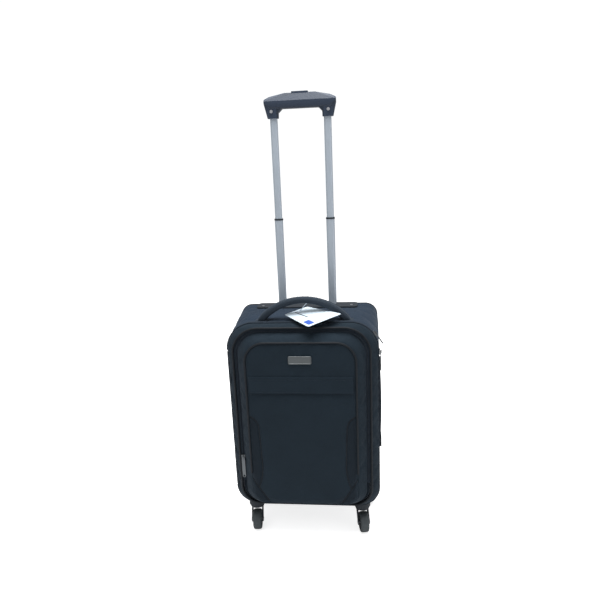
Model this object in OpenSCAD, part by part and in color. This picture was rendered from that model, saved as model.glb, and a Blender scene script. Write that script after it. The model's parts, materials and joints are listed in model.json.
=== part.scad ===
// Cabin-size softside spinner suitcase.
// Frame: the origin is on the floor, under the middle of the case.
// +X is to the right of somebody facing the front, +Y is towards the back, +Z is up.
// All sizes are in millimetres. The trolley handle is drawn fully out and the lid is drawn shut.

/* [Case] */
// Width of the padded body
case_w = 350; // [330:1:370]
// Height of the body's base above the floor
base_z = 76; // [74:1:80]
// Height of the body's top above the floor
top_z = 541; // [520:1:560]
// Radius of the body's lower corners at the main zip
low_r = 48; // [44:1:52]
// Radius of the body's upper corners at the main zip
top_r = 64; // [54:1:66]
// Radius of the body's four corners at the back
rear_r = 30; // [26:1:40]
// Depth of the case behind the main zip
shell_d = 170; // [150:1:190]

/* [Lid] */
// Width of the lid's front edge
front_w = 314; // [296:1:330]
// Radius of the lid's upper front corners
front_r = 60; // [50:1:64]
// Width of the front pocket's face
panel_w = 251; // [230:1:262]

/* [Trolley] */
// Distance between the two telescopic legs
leg_spacing = 126.8; // [110:0.1:140]
// Travel of the middle tubes
middle_travel = 205; // [180:1:215]
// Travel of the inner tubes
inner_travel = 231; // [200:1:240]
// Length of the handgrip
grip_w = 167; // [160:1:180]

/* [Casters] */
// Distance between left and right casters
caster_spacing = 265; // [250:1:280]
// Diameter of a wheel
wheel_d = 50; // [44:1:50]
// Width of a wheel
wheel_w = 21; // [16:0.5:22]

/* [Hidden] */

$fn = 48;
hull_fn = 32;
tiny = 0.01;

// Colours
fabric = [0.10, 0.13, 0.17];
fabric_light = [0.15, 0.19, 0.24];
trim = [0.05, 0.06, 0.08];
lining = [0.16, 0.17, 0.20];
plastic = [0.13, 0.15, 0.19];
silver = [0.68, 0.71, 0.76];
steel = [0.62, 0.64, 0.66];
pewter = [0.36, 0.37, 0.38];

// Body
case_hw = case_w / 2;
wrap_t = 5;                      // padded wall
zip_y = -64;                     // plane of the main zip
shell_front_y = zip_y + 4;
wrap_back_y = shell_front_y + shell_d;
wire_r = 1.5;
lining_t = 1.2;
zip_band_d = 12;                   // depth of the body's front band, whose corners don't change
lining_gap = 9;                  // from the wrap's outside to the lining's outside
tray_t = 3;
tray_z = base_z + wrap_t + 0.3;

// Lid
front_hw = front_w / 2;
lid_back_y = zip_y - 4;
lid_front_y = lid_back_y - 20;
front_top = top_z - 6;
front_low = base_z + 14;
front_low_r = 44;
gusset_t = 4;
piping_r = 2.6;
lid_board_t = 2.5;

// Front pocket
panel_hw = panel_w / 2;
panel_back_y = lid_front_y - 1.5;
panel_front_y = panel_back_y - 23.5;
panel_face_y = panel_front_y - 3;  // crown of the padded face
panel_top = front_top - 27;
panel_low = front_low + 14;
panel_r = 46;
panel_low_r = 30;
panel_wall = 2.6;
rim_inset = 13;                    // from the lid's front edge to the pocket's rim
overlay_t = 1;
inner_piping_r = 2.3;
inner_piping_end_z = 186;
pocket_zip_inset = 7.5;
pocket_zip_end_z = 150;
pocket_slider_z = 213;
plate_size = [52.5, 19];
plate_z = 468;
flap_top_z = 429;
flap_low_z = 389;
flap_hw = panel_hw - 7;
flap_zip_z = 398;

// Zips
coil_r = 1.4;
coil_gap = 0.8;
tape_t = 0.8;
tape_w = 6.6;
slider_l = 13;
slider_w = 9;
slider_t = 1.7;
bridge_half = 3;                   // half of the bridge's inner length
bridge_h = 4.5;
bridge_w = 2.6;
pull_pin_z = 3.1;                  // height of the pull's pin above the slider's base
pull_pin_r = 1.2;
pull_l = 30;
pocket_pull_l = 52;
pull_w = 8;
pull_t = 1.8;
padlock_eye_r = 2.25;
slider_base = coil_r + 0.4;        // from the wrap's outside to the slider's base
upper_slider_angle = 33;           // place of the upper slider on the corner's arc
lower_slider_z = top_z - top_r - 7;

// Trolley
leg_x = leg_spacing / 2;
trolley_y = 98;
outer_size = [24, 16.6];
outer_wall = 1.2;
middle_size = [20.4, 13.4];
middle_wall = 0.9;
inner_size = [17.5, 10.5];
inner_wall = 1;
bezel_z = top_z + 0.3;
bezel_t = 3;
middle_proud = 9.7;                // the lowered middle tubes' height above the bezel's underside
bezel_hw = 126;
bezel_front_y = 64;
bezel_back_y = 110;
bezel_r = 10;
bezel_screw_x = bezel_hw - 15;
bezel_screw_y = bezel_front_y + 13;
outer_low = 87;
outer_high = bezel_z + 1.4;
middle_high = bezel_z + middle_proud + middle_travel;
middle_low = middle_high - 438;
collar_h = 4;
inner_low = middle_high + collar_h - 120;
grip_leg_z = middle_high + collar_h + inner_travel + 2;
grip_under_z = grip_leg_z + 21;
grip_edge_z = grip_under_z + 17;   // where the flat face meets the sloping top
grip_top_z = grip_under_z + 34;
grip_d = 30;
inner_high = grip_leg_z + 19;
rivet_z = grip_leg_z + 15;
rivet_x = leg_x + 3;
rod_x = leg_x - 4;
rod_r = 1.6;
plug_h = 30;                       // how far the plugs reach up inside the inner tubes
rod_low = inner_low + plug_h + 0.2;
lock_z = inner_low + 22;
lock_r = 2.5;
yoke_z = grip_under_z + 6;
yoke_h = 7;
button_travel = 5;
button_size = [38, 13];
button_top_z = grip_top_z + 3;
spring_low = yoke_z - 1.8;
spring_h = 7.4;
spring_r = 2.6;
spring_wire_r = 0.45;
spring_turns = 4;

// Casters
caster_x = caster_spacing / 2;
front_pivot_y = -46;
rear_pivot_y = 76;
trail = 17;
wheel_r = wheel_d / 2;
stem_r = 5;
rivet_r = 2;
running_gap = 0.05;
housing_r = 20;
housing_z = 62;
housing_top = base_z - 1.9;
neck_r = 9;
screw_inset = 12;                  // from a caster's pivot to its housing's screws, towards the middle
screw_spread = 7;                  // and to the front or the back
axle_r = 2.5;
blade_gap = 0.8;
blade_t = 3;
// name, X side, pivot Y, heading of the trail in degrees (270 points to the front)
front_left_caster = [-caster_x, front_pivot_y, 276];
front_right_caster = [caster_x, front_pivot_y, 281];
rear_left_caster = [-caster_x, rear_pivot_y, 262];
rear_right_caster = [caster_x, rear_pivot_y, 318];
CASTERS = [front_left_caster, front_right_caster, rear_left_caster, rear_right_caster];

// Handles and tag
top_handle_x = 5;
top_handle_y = -44;
top_handle_w = 24;
top_handle_t = 13;
top_handle_half = 108;
top_handle_rise = 62;
top_handle_low = top_z - 6;
handle_fold_z = top_z + 2;         // sewn line that the handle folds about
side_handle_y = 25;
side_handle_w = 24;
side_handle_low = 193;
side_handle_high = 423;
side_mount_l = 26;

// ---------- helpers ----------

// A rounded rectangle, X wide and Z high, drawn in the XY plane; its corners are true arcs.
module rounded_outline(half_w, low, high, r_low, r_high) {
    polygon([
        [-half_w, low + r_low], [-half_w + r_low, low], [half_w - r_low, low], [half_w, low + r_low],
        [half_w, high - r_high], [half_w - r_high, high], [-half_w + r_high, high], [-half_w, high - r_high]
    ]);
    for (side = [-1, 1]) {
        translate([side * (half_w - r_low), low + r_low]) circle(r_low);
        translate([side * (half_w - r_high), high - r_high]) circle(r_high);
    }
}

// Stands a flat outline up in the XZ plane, filling Y from y0 to y1.
module upright(y0, y1) {
    translate([0, y1, 0]) rotate([90, 0, 0]) linear_extrude(y1 - y0) children();
}

// A standing slab with a rounded outline.
module slab(half_w, low, high, r_low, r_high, y0, y1) {
    upright(y0, y1) rounded_outline(half_w, low, high, r_low, r_high);
}

// A thin slab made for use inside hull().
module hull_slab(half_w, low, high, r_low, r_high, y0, y1) {
    upright(y0, y1) {
        for (side = [-1, 1]) {
            translate([side * (half_w - r_low), low + r_low]) circle(r_low, $fn = hull_fn);
            translate([side * (half_w - r_high), high - r_high]) circle(r_high, $fn = hull_fn);
        }
    }
}

// Sweeps a profile round a standing rounded rectangle. The profile's X is the distance
// outwards from the path and its Y is the depth. Parts of the path can be left out.
module sweep_round(half_w, low, high, r_low, r_high, left = true, bottom = true, side_low = 0) {
    side_start = max(low + r_low, side_low);
    translate([half_w, 0, side_start]) linear_extrude(high - r_high - side_start) children();
    if (left) {
        mirror([1, 0, 0])
            translate([half_w, 0, side_start]) linear_extrude(high - r_high - side_start) children();
    }
    translate([half_w - r_high, 0, high])
        rotate([0, -90, 0]) linear_extrude(2 * (half_w - r_high)) children();
    sweep_corner(half_w - r_high, high - r_high, r_high, 270) children();
    sweep_corner(-half_w + r_high, high - r_high, r_high, 180) children();
    if (bottom) {
        translate([half_w - r_low, 0, low])
            mirror([0, 0, 1]) rotate([0, -90, 0]) linear_extrude(2 * (half_w - r_low)) children();
        sweep_corner(half_w - r_low, low + r_low, r_low, 0) children();
        sweep_corner(-half_w + r_low, low + r_low, r_low, 90) children();
    }
}

module sweep_corner(x, z, r, start) {
    translate([x, 0, z]) rotate([-90, 0, 0]) rotate([0, 0, start])
        rotate_extrude(angle = 90) translate([r, 0]) children();
}

// A flattened oval, as the telescopic tubes have.
module oval(size) {
    square([size[0] - size[1], size[1]], center = true);
    for (side = [-1, 1]) {
        translate([side * (size[0] - size[1]) / 2, 0]) circle(d = size[1]);
    }
}

function grown(size, gap) = [size[0] + 2 * gap, size[1] + 2 * gap];

module on_legs() {
    for (side = [-1, 1]) {
        translate([side * leg_x, trolley_y, 0]) children();
    }
}

module oval_tube(size, wall, low, high) {
    translate([0, 0, low]) linear_extrude(high - low) {
        difference() {
            oval(size);
            oval(grown(size, -wall));
        }
    }
}

module oval_bar(size, low, high) {
    translate([0, 0, low]) linear_extrude(high - low) oval(size);
}

// A pan-head screw standing on z, with its shank going down.
module screw(shank_l) {
    cylinder(d = 7, h = 1.5);
    translate([0, 0, -shank_l]) cylinder(d = 3.5, h = shank_l + tiny);
}

module screw_hole(low, high) {
    translate([0, 0, low]) cylinder(d = 3.7, h = high - low);
}

module on_bezel_screws() {
    for (side = [-1, 1]) {
        translate([side * bezel_screw_x, bezel_screw_y, 0]) children();
    }
}

module on_housing_screws() {
    for (caster = CASTERS, side = [-1, 1]) {
        translate([caster[0] - sign(caster[0]) * screw_inset, caster[1] + side * screw_spread, 0])
            children();
    }
}

module on_casters() {
    for (caster = CASTERS) {
        translate([caster[0], caster[1], 0]) children();
    }
}

// ---------- case ----------

module back_board() {
    inset = wrap_t + 2 * wire_r + 1;
    color(trim) slab(case_hw - inset, base_z + inset, top_z - inset,
        rear_r - inset, rear_r - inset, wrap_back_y - 3, wrap_back_y);
}

module back_cover() {
    color(fabric) slab(case_hw - 4.5, base_z + 4.5, top_z - 4.5,
        rear_r - 4.5, rear_r - 4.5, wrap_back_y + 0.2, wrap_back_y + 4);
}

module rear_piping() {
    color(trim) sweep_round(case_hw - 1.8, base_z + 1.8, top_z - 1.8, rear_r - 1.8, rear_r - 1.8)
        translate([0, wrap_back_y + 2.7]) circle(r = 2.5);
}

// The body's outer form, inset all round and made longer at both ends.
// Its corners tighten to the back, from behind the zip's tape.
module body_solid(inset, longer) {
    band_back = shell_front_y + zip_band_d;
    back = wrap_back_y + longer;
    hull() hull_slab(case_hw - inset, base_z + inset, top_z - inset,
        low_r - inset, top_r - inset, shell_front_y - longer, band_back);
    hull() {
        hull_slab(case_hw - inset, base_z + inset, top_z - inset,
            low_r - inset, top_r - inset, band_back - tiny, band_back);
        hull_slab(case_hw - inset, base_z + inset, top_z - inset,
            rear_r - inset, rear_r - inset, back - tiny, back);
    }
}

module side_wrap() {
    color(fabric_light) difference() {
        body_solid(0, 0);
        body_solid(wrap_t, 1);
        on_legs() oval_bar(grown(outer_size, 0.6), top_z - 20, top_z + 1);
        on_bezel_screws() screw_hole(top_z - 20, top_z + 1);
        on_housing_screws() screw_hole(base_z - 1, base_z + 20);
        on_casters() translate([0, 0, base_z - 1]) cylinder(r = neck_r + 0.5, h = wrap_t + 12);
    }
}

// A thin fabric tray that lines the main compartment and hides the telescopic tubes.
module shell_lining() {
    back = trolley_y - outer_size[1] / 2 - 3;
    outside = lining_gap;
    inside = lining_gap + lining_t;
    low = tray_z + tray_t + 2.2;
    color(lining) difference() {
        slab(case_hw - outside, low, top_z - outside,
            low_r - outside, top_r - outside, shell_front_y + 1, back);
        slab(case_hw - inside, low + lining_t, top_z - inside,
            low_r - inside, top_r - inside, shell_front_y, back - lining_t);
    }
}

// Two steel hoops that keep the body's front and back edges in shape.
module frame_wires() {
    inset = wrap_t + wire_r + 0.4;
    color(steel) {
        sweep_round(case_hw - inset, base_z + inset, top_z - inset, low_r - inset, top_r - inset)
            translate([0, shell_front_y + 2.2]) circle(r = wire_r);
        sweep_round(case_hw - inset, base_z + inset, top_z - inset, rear_r - inset, rear_r - inset)
            translate([0, wrap_back_y - 1.8]) circle(r = wire_r);
    }
}

// Plastic plate in the bottom; its long edges follow the body's rounded corners.
module base_tray() {
    front = shell_front_y + 5;
    back = wrap_back_y - 10;
    inset = tray_z - base_z;
    half_l = case_hw - low_r + 20;
    color(plastic) difference() {
        intersection() {
            translate([-half_l, front, tray_z]) cube([2 * half_l, back - front, tray_t]);
            slab(case_hw - inset, tray_z, top_z - inset, low_r - inset, low_r - inset,
                front - 1, back + 1);
        }
        on_casters() translate([0, 0, tray_z - 1]) cylinder(r = neck_r + 0.5, h = tray_t + 2);
        on_housing_screws() screw_hole(tray_z - 1, tray_z + tray_t + 1);
    }
}

// Four sockets under the body's corners; each holds one caster's stem.
module caster_housings() {
    color(plastic) difference() {
        on_casters() {
            translate([0, 0, housing_z]) cylinder(r = housing_r, h = housing_top - housing_z);
            translate([0, 0, housing_top - 1]) cylinder(r = neck_r, h = tray_z + tray_t - housing_top + 1.3);
        }
        on_casters() translate([0, 0, housing_z - 1]) cylinder(r = stem_r + running_gap, h = 22);
        on_housing_screws() screw_hole(housing_z + 2, base_z + 1);
    }
}

module case_screws() {
    color(steel) {
        on_bezel_screws() translate([0, 0, bezel_z + bezel_t]) screw(12);
        on_housing_screws() translate([0, 0, tray_z + tray_t]) screw(18);
    }
}

// Feet on the hinge side, for standing the case on its long side.
module side_feet() {
    color(trim) for (y = [28, 92], z = [140, 450]) {
        translate([-case_hw - 0.1, y, z]) rotate([0, -90, 0]) cylinder(r = 11, h = 7);
    }
}

module outer_tubes() {
    color(steel) on_legs() oval_tube(outer_size, outer_wall, outer_low, outer_high);
}

module tube_foot_bracket() {
    color(plastic) difference() {
        translate([-leg_x - 20, trolley_y - 10, tray_z + tray_t + 0.3]) cube([2 * leg_x + 40, 18.5, 14]);
        on_legs() oval_bar(grown(outer_size, 0.15), outer_low - 0.3, outer_low + 30);
    }
}

// Long trim on the top: the tubes come out of it and the lowered grip sits on it.
module trolley_bezel() {
    flat_hw = bezel_hw - bezel_r;
    bezel_d = bezel_back_y - bezel_front_y;
    color(plastic) difference() {
        translate([0, 0, bezel_z]) linear_extrude(bezel_t) {
            translate([-flat_hw, bezel_front_y]) square([2 * flat_hw, bezel_d]);
            translate([-bezel_hw, bezel_front_y + bezel_r]) square([2 * bezel_hw, bezel_d - 2 * bezel_r]);
            for (side = [-1, 1], y = [bezel_front_y + bezel_r, bezel_back_y - bezel_r]) {
                translate([side * flat_hw, y]) circle(bezel_r);
            }
        }
        on_legs() oval_bar(grown(outer_size, 0.3), bezel_z - 1, outer_high + 0.3);
        on_legs() oval_bar(grown(middle_size, 0.4), bezel_z, bezel_z + bezel_t + 1);
        on_bezel_screws() screw_hole(bezel_z - 1, bezel_z + bezel_t + 1);
    }
}

// A flat carrying strap, bowed slightly away from the side.
module side_handle_strap() {
    rise = 3.4;
    strap_t = 3;
    end_gap = 4;
    half = (side_handle_high - side_handle_low) / 2 - end_gap;
    bow_r = (half * half + rise * rise) / (2 * rise);
    middle_z = (side_handle_high + side_handle_low) / 2;
    color(fabric) translate([case_hw + 0.4, side_handle_y - side_handle_w / 2, middle_z])
        rotate([-90, 0, 0]) linear_extrude(side_handle_w) intersection() {
            difference() {
                translate([rise + strap_t - bow_r, 0]) circle(bow_r, $fn = 180);
                translate([rise - bow_r, 0]) circle(bow_r, $fn = 180);
            }
            translate([0, -half]) square([rise + strap_t + 1, 2 * half]);
        }
}

// The two end plates that hold the strap's ends.
module side_handle_mounts() {
    wall = 2;
    height = 7.2;
    slot_h = 5.2;
    color(pewter) for (end = [0, 1]) {
        z = end == 0 ? side_handle_low : side_handle_high - side_mount_l;
        slot_z = end == 0 ? z + 3.4 : z - 1;
        translate([case_hw + 0.1, side_handle_y, 0]) difference() {
            translate([0, -side_handle_w / 2 - wall - 0.5, z])
                cube([height, side_handle_w + 2 * wall + 1, side_mount_l]);
            translate([-1, -side_handle_w / 2 - 0.5, slot_z])
                cube([slot_h + 1, side_handle_w + 1, side_mount_l - 2.4]);
        }
    }
}

// The half of the main zip that is sewn to the body: a tape with a coil along its edge.
module case_zip_half() {
    color(trim) sweep_round(case_hw, base_z, top_z, low_r, top_r, left = false) {
        translate([0.15, zip_y + coil_r]) square([tape_t, tape_w]);
        translate([0.15, zip_y + coil_gap / 2 + coil_r]) circle(r = coil_r);
    }
}

// Fabric hinge down the left edge.
module lid_hinge_strip() {
    color(trim) translate([-case_hw - 1.15, zip_y + 0.6, base_z + low_r + 4])
        cube([1, 12, top_z - base_z - low_r - top_r - 8]);
}

// ---------- lid ----------

// Sloping fabric band between the main zip and the front edge.
module lid_gusset() {
    wall = gusset_t;
    color(fabric_light) difference() {
        hull() {
            hull_slab(case_hw, base_z, top_z, low_r, top_r, lid_back_y - 1, lid_back_y);
            hull_slab(front_hw, front_low, front_top, front_low_r, front_r, lid_front_y, lid_front_y + 1);
        }
        hull() {
            hull_slab(case_hw - wall, base_z + wall, top_z - wall,
                low_r - wall, top_r - wall, lid_back_y - 1, lid_back_y + 1);
            hull_slab(front_hw - wall, front_low + wall, front_top - wall,
                front_low_r - wall, front_r - wall, lid_front_y - 1, lid_front_y + 1);
        }
    }
}

module lid_board() {
    inset = gusset_t + 1.5;
    color(trim) slab(front_hw - inset, front_low + inset, front_top - inset,
        front_low_r - inset, front_r - inset, lid_front_y + 0.5, lid_front_y + 0.5 + lid_board_t);
}

// Quilted lining on the inside of the lid.
module lid_lining() {
    inset = gusset_t + 1.5;
    y = lid_front_y + lid_board_t + 1;
    color(lining) slab(front_hw - inset, front_low + inset, front_top - inset,
        front_low_r - inset, front_r - inset, y, y + lining_t);
}

module lid_piping() {
    color(trim) sweep_round(front_hw, front_low, front_top, front_low_r, front_r)
        translate([0, lid_front_y - piping_r - 0.1]) circle(r = piping_r);
}

module lid_zip_half() {
    color(trim) sweep_round(case_hw, base_z, top_z, low_r, top_r, left = false) {
        translate([0.15, lid_back_y + 0.2]) square([tape_t, 3]);
        translate([0.15, zip_y - coil_gap / 2 - coil_r]) circle(r = coil_r);
    }
}

// The lid's half of the pocket's zip, round the sides and the top.
module pocket_zip_tape() {
    inset = pocket_zip_inset;
    color(trim) sweep_round(front_hw - inset, front_low + inset, front_top - inset,
        front_low_r - inset, front_r - inset, bottom = false, side_low = pocket_zip_end_z) {
        translate([-4.6, lid_front_y - 1]) square([9.2, tape_t]);
        translate([0, lid_front_y - 1.4]) circle(r = 1.1);
    }
}

// A slider lying on the XY plane, pointing along +Y; its bridge stands along Z.
module slider_body() {
    waist = slider_w * 0.62;
    linear_extrude(slider_t) polygon([
        [-waist / 2, -slider_l / 2], [waist / 2, -slider_l / 2], [slider_w / 2, slider_l * 0.1],
        [slider_w / 2, slider_l / 2], [-slider_w / 2, slider_l / 2], [-slider_w / 2, slider_l * 0.1]
    ]);
    translate([-bridge_w / 2, -bridge_half - 1, 0]) difference() {
        cube([bridge_w, 2 * bridge_half + 2, bridge_h + 1]);
        translate([-1, 1, slider_t]) cube([bridge_w + 2, 2 * bridge_half, bridge_h - slider_t]);
    }
}

// A pull hanging along -Y from its pin, which lies along X under the slider's bridge.
module pull_tab(l = pull_l) {
    rotate([0, 90, 0]) cylinder(r = pull_pin_r, h = 5, center = true);
    difference() {
        translate([0, 0, -pull_t / 2]) linear_extrude(pull_t) {
            translate([-pull_w / 2, -l + pull_w / 2]) square([pull_w, l - pull_w / 2 - 5]);
            translate([0, -l + pull_w / 2]) circle(d = pull_w);
            for (side = [-1, 1]) {
                translate([side * 2.6 - 0.9, -6]) square([1.8, 7]);
            }
        }
        translate([0, -l + pull_w / 2, -pull_t]) cylinder(r = padlock_eye_r, h = 2 * pull_t);
    }
}

// Puts a slider or its pull, drawn on the XY plane, on the pocket's zip at the left of the lid.
module on_pocket_zip(height) {
    translate([-front_hw + pocket_zip_inset, lid_front_y - 2.9 - height, pocket_slider_z])
        rotate([90, 0, 0]) children();
}

module pocket_zip_slider() {
    color(pewter) on_pocket_zip(0) slider_body();
}

module pocket_zip_pull() {
    color(pewter) on_pocket_zip(pull_pin_z) pull_tab(pocket_pull_l);
}

// ---------- front pocket ----------

// Padded face with sloping sides. It is hollow behind, which makes the pocket.
module pocket_panel() {
    rim_hw = front_hw - rim_inset;
    rim_low = front_low + 6;
    rim_high = front_top - rim_inset;
    wall = panel_wall;
    color(fabric) difference() {
        union() {
            hull() {
                hull_slab(rim_hw, rim_low, rim_high, 36, 50, panel_back_y - 1, panel_back_y);
                hull_slab(panel_hw, panel_low, panel_top, panel_low_r, panel_r,
                    panel_front_y, panel_front_y + 1);
            }
            hull() {
                hull_slab(panel_hw - 3, panel_low + 2, panel_top - 3, panel_low_r, panel_r,
                    panel_front_y - 1, panel_front_y + 1);
                hull_slab(panel_hw - 6, panel_low + 5, panel_top - 7, panel_low_r, panel_r,
                    panel_face_y, panel_face_y + 1);
            }
        }
        hull() {
            hull_slab(rim_hw - wall, rim_low + wall, rim_high - wall, 34, 48,
                panel_back_y - 1, panel_back_y + 1);
            hull_slab(panel_hw - wall, panel_low + wall, panel_top - wall, panel_low_r, panel_r,
                panel_front_y + wall, panel_front_y + wall + 1);
        }
    }
}

module panel_piping() {
    color(trim) sweep_round(panel_hw, panel_low, panel_top, panel_low_r, panel_r,
        bottom = false, side_low = inner_piping_end_z)
        translate([0, panel_front_y - inner_piping_r - 0.1]) circle(r = inner_piping_r);
}

module name_plate() {
    color(pewter) translate([0, 0, plate_z]) upright(panel_face_y - 2, panel_face_y - 0.1)
        square(plate_size, center = true);
}

// Sewn-on fabric pieces: an arched insert up each side and a patch on each lower corner.
module panel_overlays() {
    insert_r = 197;
    insert_x = 97.5;               // the arch's nearest distance to the middle
    insert_z = 252;
    edge = panel_hw - 8;
    low = panel_low + 6;
    patch_top = 172;
    patch_x = 82;
    color(trim) for (side = [0, 1]) mirror([side, 0, 0])
        upright(panel_face_y - overlay_t - 0.1, panel_face_y - 0.1) {
            difference() {
                intersection() {
                    translate([insert_x + insert_r, insert_z]) circle(insert_r, $fn = 180);
                    translate([insert_x - 1, patch_top - 10]) square([edge - insert_x + 1, 180]);
                }
                polygon([[patch_x, low], [edge, patch_top + 5], [edge + 1, low]]);
            }
            intersection() {
                polygon([[patch_x + 5, low], [edge, patch_top], [edge, low]]);
                translate([edge - 2 * panel_low_r, low]) square([2 * panel_low_r, 200]);
            }
        }
}

// Zip of the upper pocket, under the flap.
module flap_zip() {
    half_l = flap_hw - 10;
    color(trim) upright(panel_face_y - 0.9, panel_face_y - 0.1)
        translate([-half_l, flap_zip_z - 5]) square([2 * half_l, 10]);
    color(trim) translate([-half_l, panel_face_y - 0.9, flap_zip_z])
        rotate([0, 90, 0]) cylinder(r = 0.9, h = 2 * half_l);
}

module pocket_flap() {
    color(fabric) upright(panel_face_y - 3.9, panel_face_y - 2.3)
        translate([-flap_hw, flap_low_z]) square([2 * flap_hw, flap_top_z - flap_low_z]);
}

// ---------- main zip's sliders ----------

// Puts a slider or its pull on the main zip at an angle round the upper right corner.
module on_main_zip(angle, height, z_shift = 0) {
    translate([case_hw - top_r, zip_y, top_z - top_r + z_shift]) rotate([0, -angle, 0])
        translate([top_r + slider_base + height, 0, 0])
        rotate([0, 90, 0]) rotate([0, 0, 90]) children();
}

module upper_zip_slider() {
    color(pewter) on_main_zip(upper_slider_angle, 0) slider_body();
}

module upper_zip_pull() {
    color(pewter) on_main_zip(upper_slider_angle, pull_pin_z) pull_tab();
}

module lower_zip_slider() {
    color(pewter) on_main_zip(0, 0, lower_slider_z - top_z + top_r) slider_body();
}

module lower_zip_pull() {
    color(pewter) on_main_zip(0, pull_pin_z, lower_slider_z - top_z + top_r) pull_tab();
}

// ---------- top handle and tag ----------

function half_ellipse(a, b, start, steps) = [
    for (i = [0:steps]) let (t = start + (180 - 2 * start) * i / steps) [a * cos(t), b * sin(t)]
];

// Padded carrying handle. Its ends narrow to the webbing that folds at the sewn line.
module top_handle() {
    a = top_handle_half;
    b = top_handle_rise;
    inner_a = a - 18;
    inner_b = b - top_handle_t + 1;
    foot = handle_fold_z - top_handle_low;
    steps = 30;
    outline = concat(
        half_ellipse(a, b, asin(foot / b), steps),
        [for (p = half_ellipse(inner_a, inner_b, asin(foot / inner_b), steps)) [-p[0], p[1]]]
    );
    half_w = top_handle_w / 2;
    wide_z = foot + 13;
    color(trim) translate([top_handle_x, top_handle_y, top_handle_low]) intersection() {
        upright(-half_w, half_w) polygon(outline);
        translate([-a - 1, 0, 0]) rotate([90, 0, 90]) linear_extrude(2 * a + 2) polygon([
            [-1.5, foot], [1.5, foot], [half_w, wide_z], [half_w, b + 1], [-half_w, b + 1], [-half_w, wide_z]
        ]);
    }
}

// Blank paper tag leaning through the handle's opening.
module hang_tag() {
    corners = [[22, -118.5, 545], [95.7, -75, 563], [9.5, -10, 564], [-42, -40, 553]];
    color("white") hull() for (corner = corners) {
        translate(corner) cylinder(r = 0.8, h = 0.6, $fn = hull_fn);
    }
}

// ---------- trolley ----------

module middle_tubes() {
    color(silver) on_legs() difference() {
        oval_tube(middle_size, middle_wall, middle_low, middle_high);
        for (z = [lock_z, lock_z - inner_travel]) {
            translate([0, 3, z]) rotate([-90, 0, 0]) cylinder(r = lock_r + 0.3, h = 6);
        }
    }
}

// Black rings on the middle tubes' upper ends, with a sleeve that guides the inner tubes.
module stage_collars() {
    color(trim) on_legs() difference() {
        union() {
            oval_bar(grown(middle_size, 0.8), middle_high + 0.05, middle_high + collar_h);
            oval_bar(grown(middle_size, -middle_wall - 0.1), middle_high - 12, middle_high + 1);
        }
        oval_bar(grown(inner_size, 0.15), middle_high - 13, middle_high + collar_h + 1);
    }
}

module inner_tubes() {
    color(silver) difference() {
        on_legs() difference() {
            oval_tube(inner_size, inner_wall, inner_low, inner_high);
            translate([0, 2, lock_z]) rotate([-90, 0, 0]) cylinder(r = lock_r + 0.1, h = 5);
        }
        on_rivets() cylinder(r = rivet_r + 0.1, h = 2 * grip_d, center = true);
    }
}

// Plugs in the inner tubes' lower ends. They run inside the middle tubes and hold the lock pins.
module inner_plugs() {
    color(plastic) on_legs() difference() {
        union() {
            oval_bar(grown(inner_size, -inner_wall - 0.1), inner_low - 1, inner_low + plug_h);
            oval_bar(grown(middle_size, -middle_wall - 0.2), inner_low - 8, inner_low - 0.1);
        }
        translate([0, -2, lock_z]) rotate([-90, 0, 0]) cylinder(r = lock_r + running_gap, h = 10);
    }
}

// Pins that catch the middle tubes' holes. They are drawn pulled back, as when the button is held down.
module lock_pins() {
    color(steel) on_legs() translate([0, -1.5, lock_z]) rotate([-90, 0, 0]) cylinder(r = lock_r, h = 6.6);
}

module on_rivets() {
    for (side = [-1, 1]) {
        translate([side * rivet_x, trolley_y, rivet_z]) rotate([90, 0, 0]) children();
    }
}

// Section of the handgrip's bar, in the YZ plane.
module bar_section(x, under, top, ridge) {
    half_d = grip_d / 2;
    translate([x - 1, trolley_y, 0]) rotate([90, 0, 90]) linear_extrude(2) polygon([
        [-half_d + 2, under], [-half_d, under + 3], [-half_d, grip_edge_z], [-ridge, top],
        [ridge, top], [half_d, grip_edge_z], [half_d, under + 3], [half_d - 2, under]
    ]);
}

// One layer of a grip leg, from its inner to its outer X, on either side.
module leg_layer(side, z, inner, outer, depth) {
    translate([side * (inner + outer) / 2, trolley_y, z])
        linear_extrude(1) rounded_box_outline(outer - inner, depth);
}

module grip_body() {
    half = grip_w / 2;
    hull() {
        for (side = [-1, 1]) {
            bar_section(side * (half - 1), grip_under_z + 10, grip_edge_z + 4, 9);
            bar_section(side * (half - 14), grip_under_z, grip_edge_z + 10, 8);
            bar_section(side * half * 0.42, grip_under_z, grip_top_z, 6);
        }
    }
    for (side = [-1, 1]) {
        hull() {
            leg_layer(side, grip_leg_z, leg_x - 11.5, leg_x + 13.5, 20);
            leg_layer(side, grip_under_z + 9, leg_x - 12, half, grip_d - 1);
        }
        hull() {
            leg_layer(side, grip_under_z - 9, leg_x - 12, leg_x + 8, 23);
            leg_layer(side, grip_under_z + 1, leg_x - 22, leg_x + 8, grip_d - 4);
        }
    }
}

module rounded_box_outline(l, w) {
    r = 4;
    for (x = [-1, 1], y = [-1, 1]) {
        translate([x * (l / 2 - r), y * (w / 2 - r)]) circle(r, $fn = hull_fn);
    }
}

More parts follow.
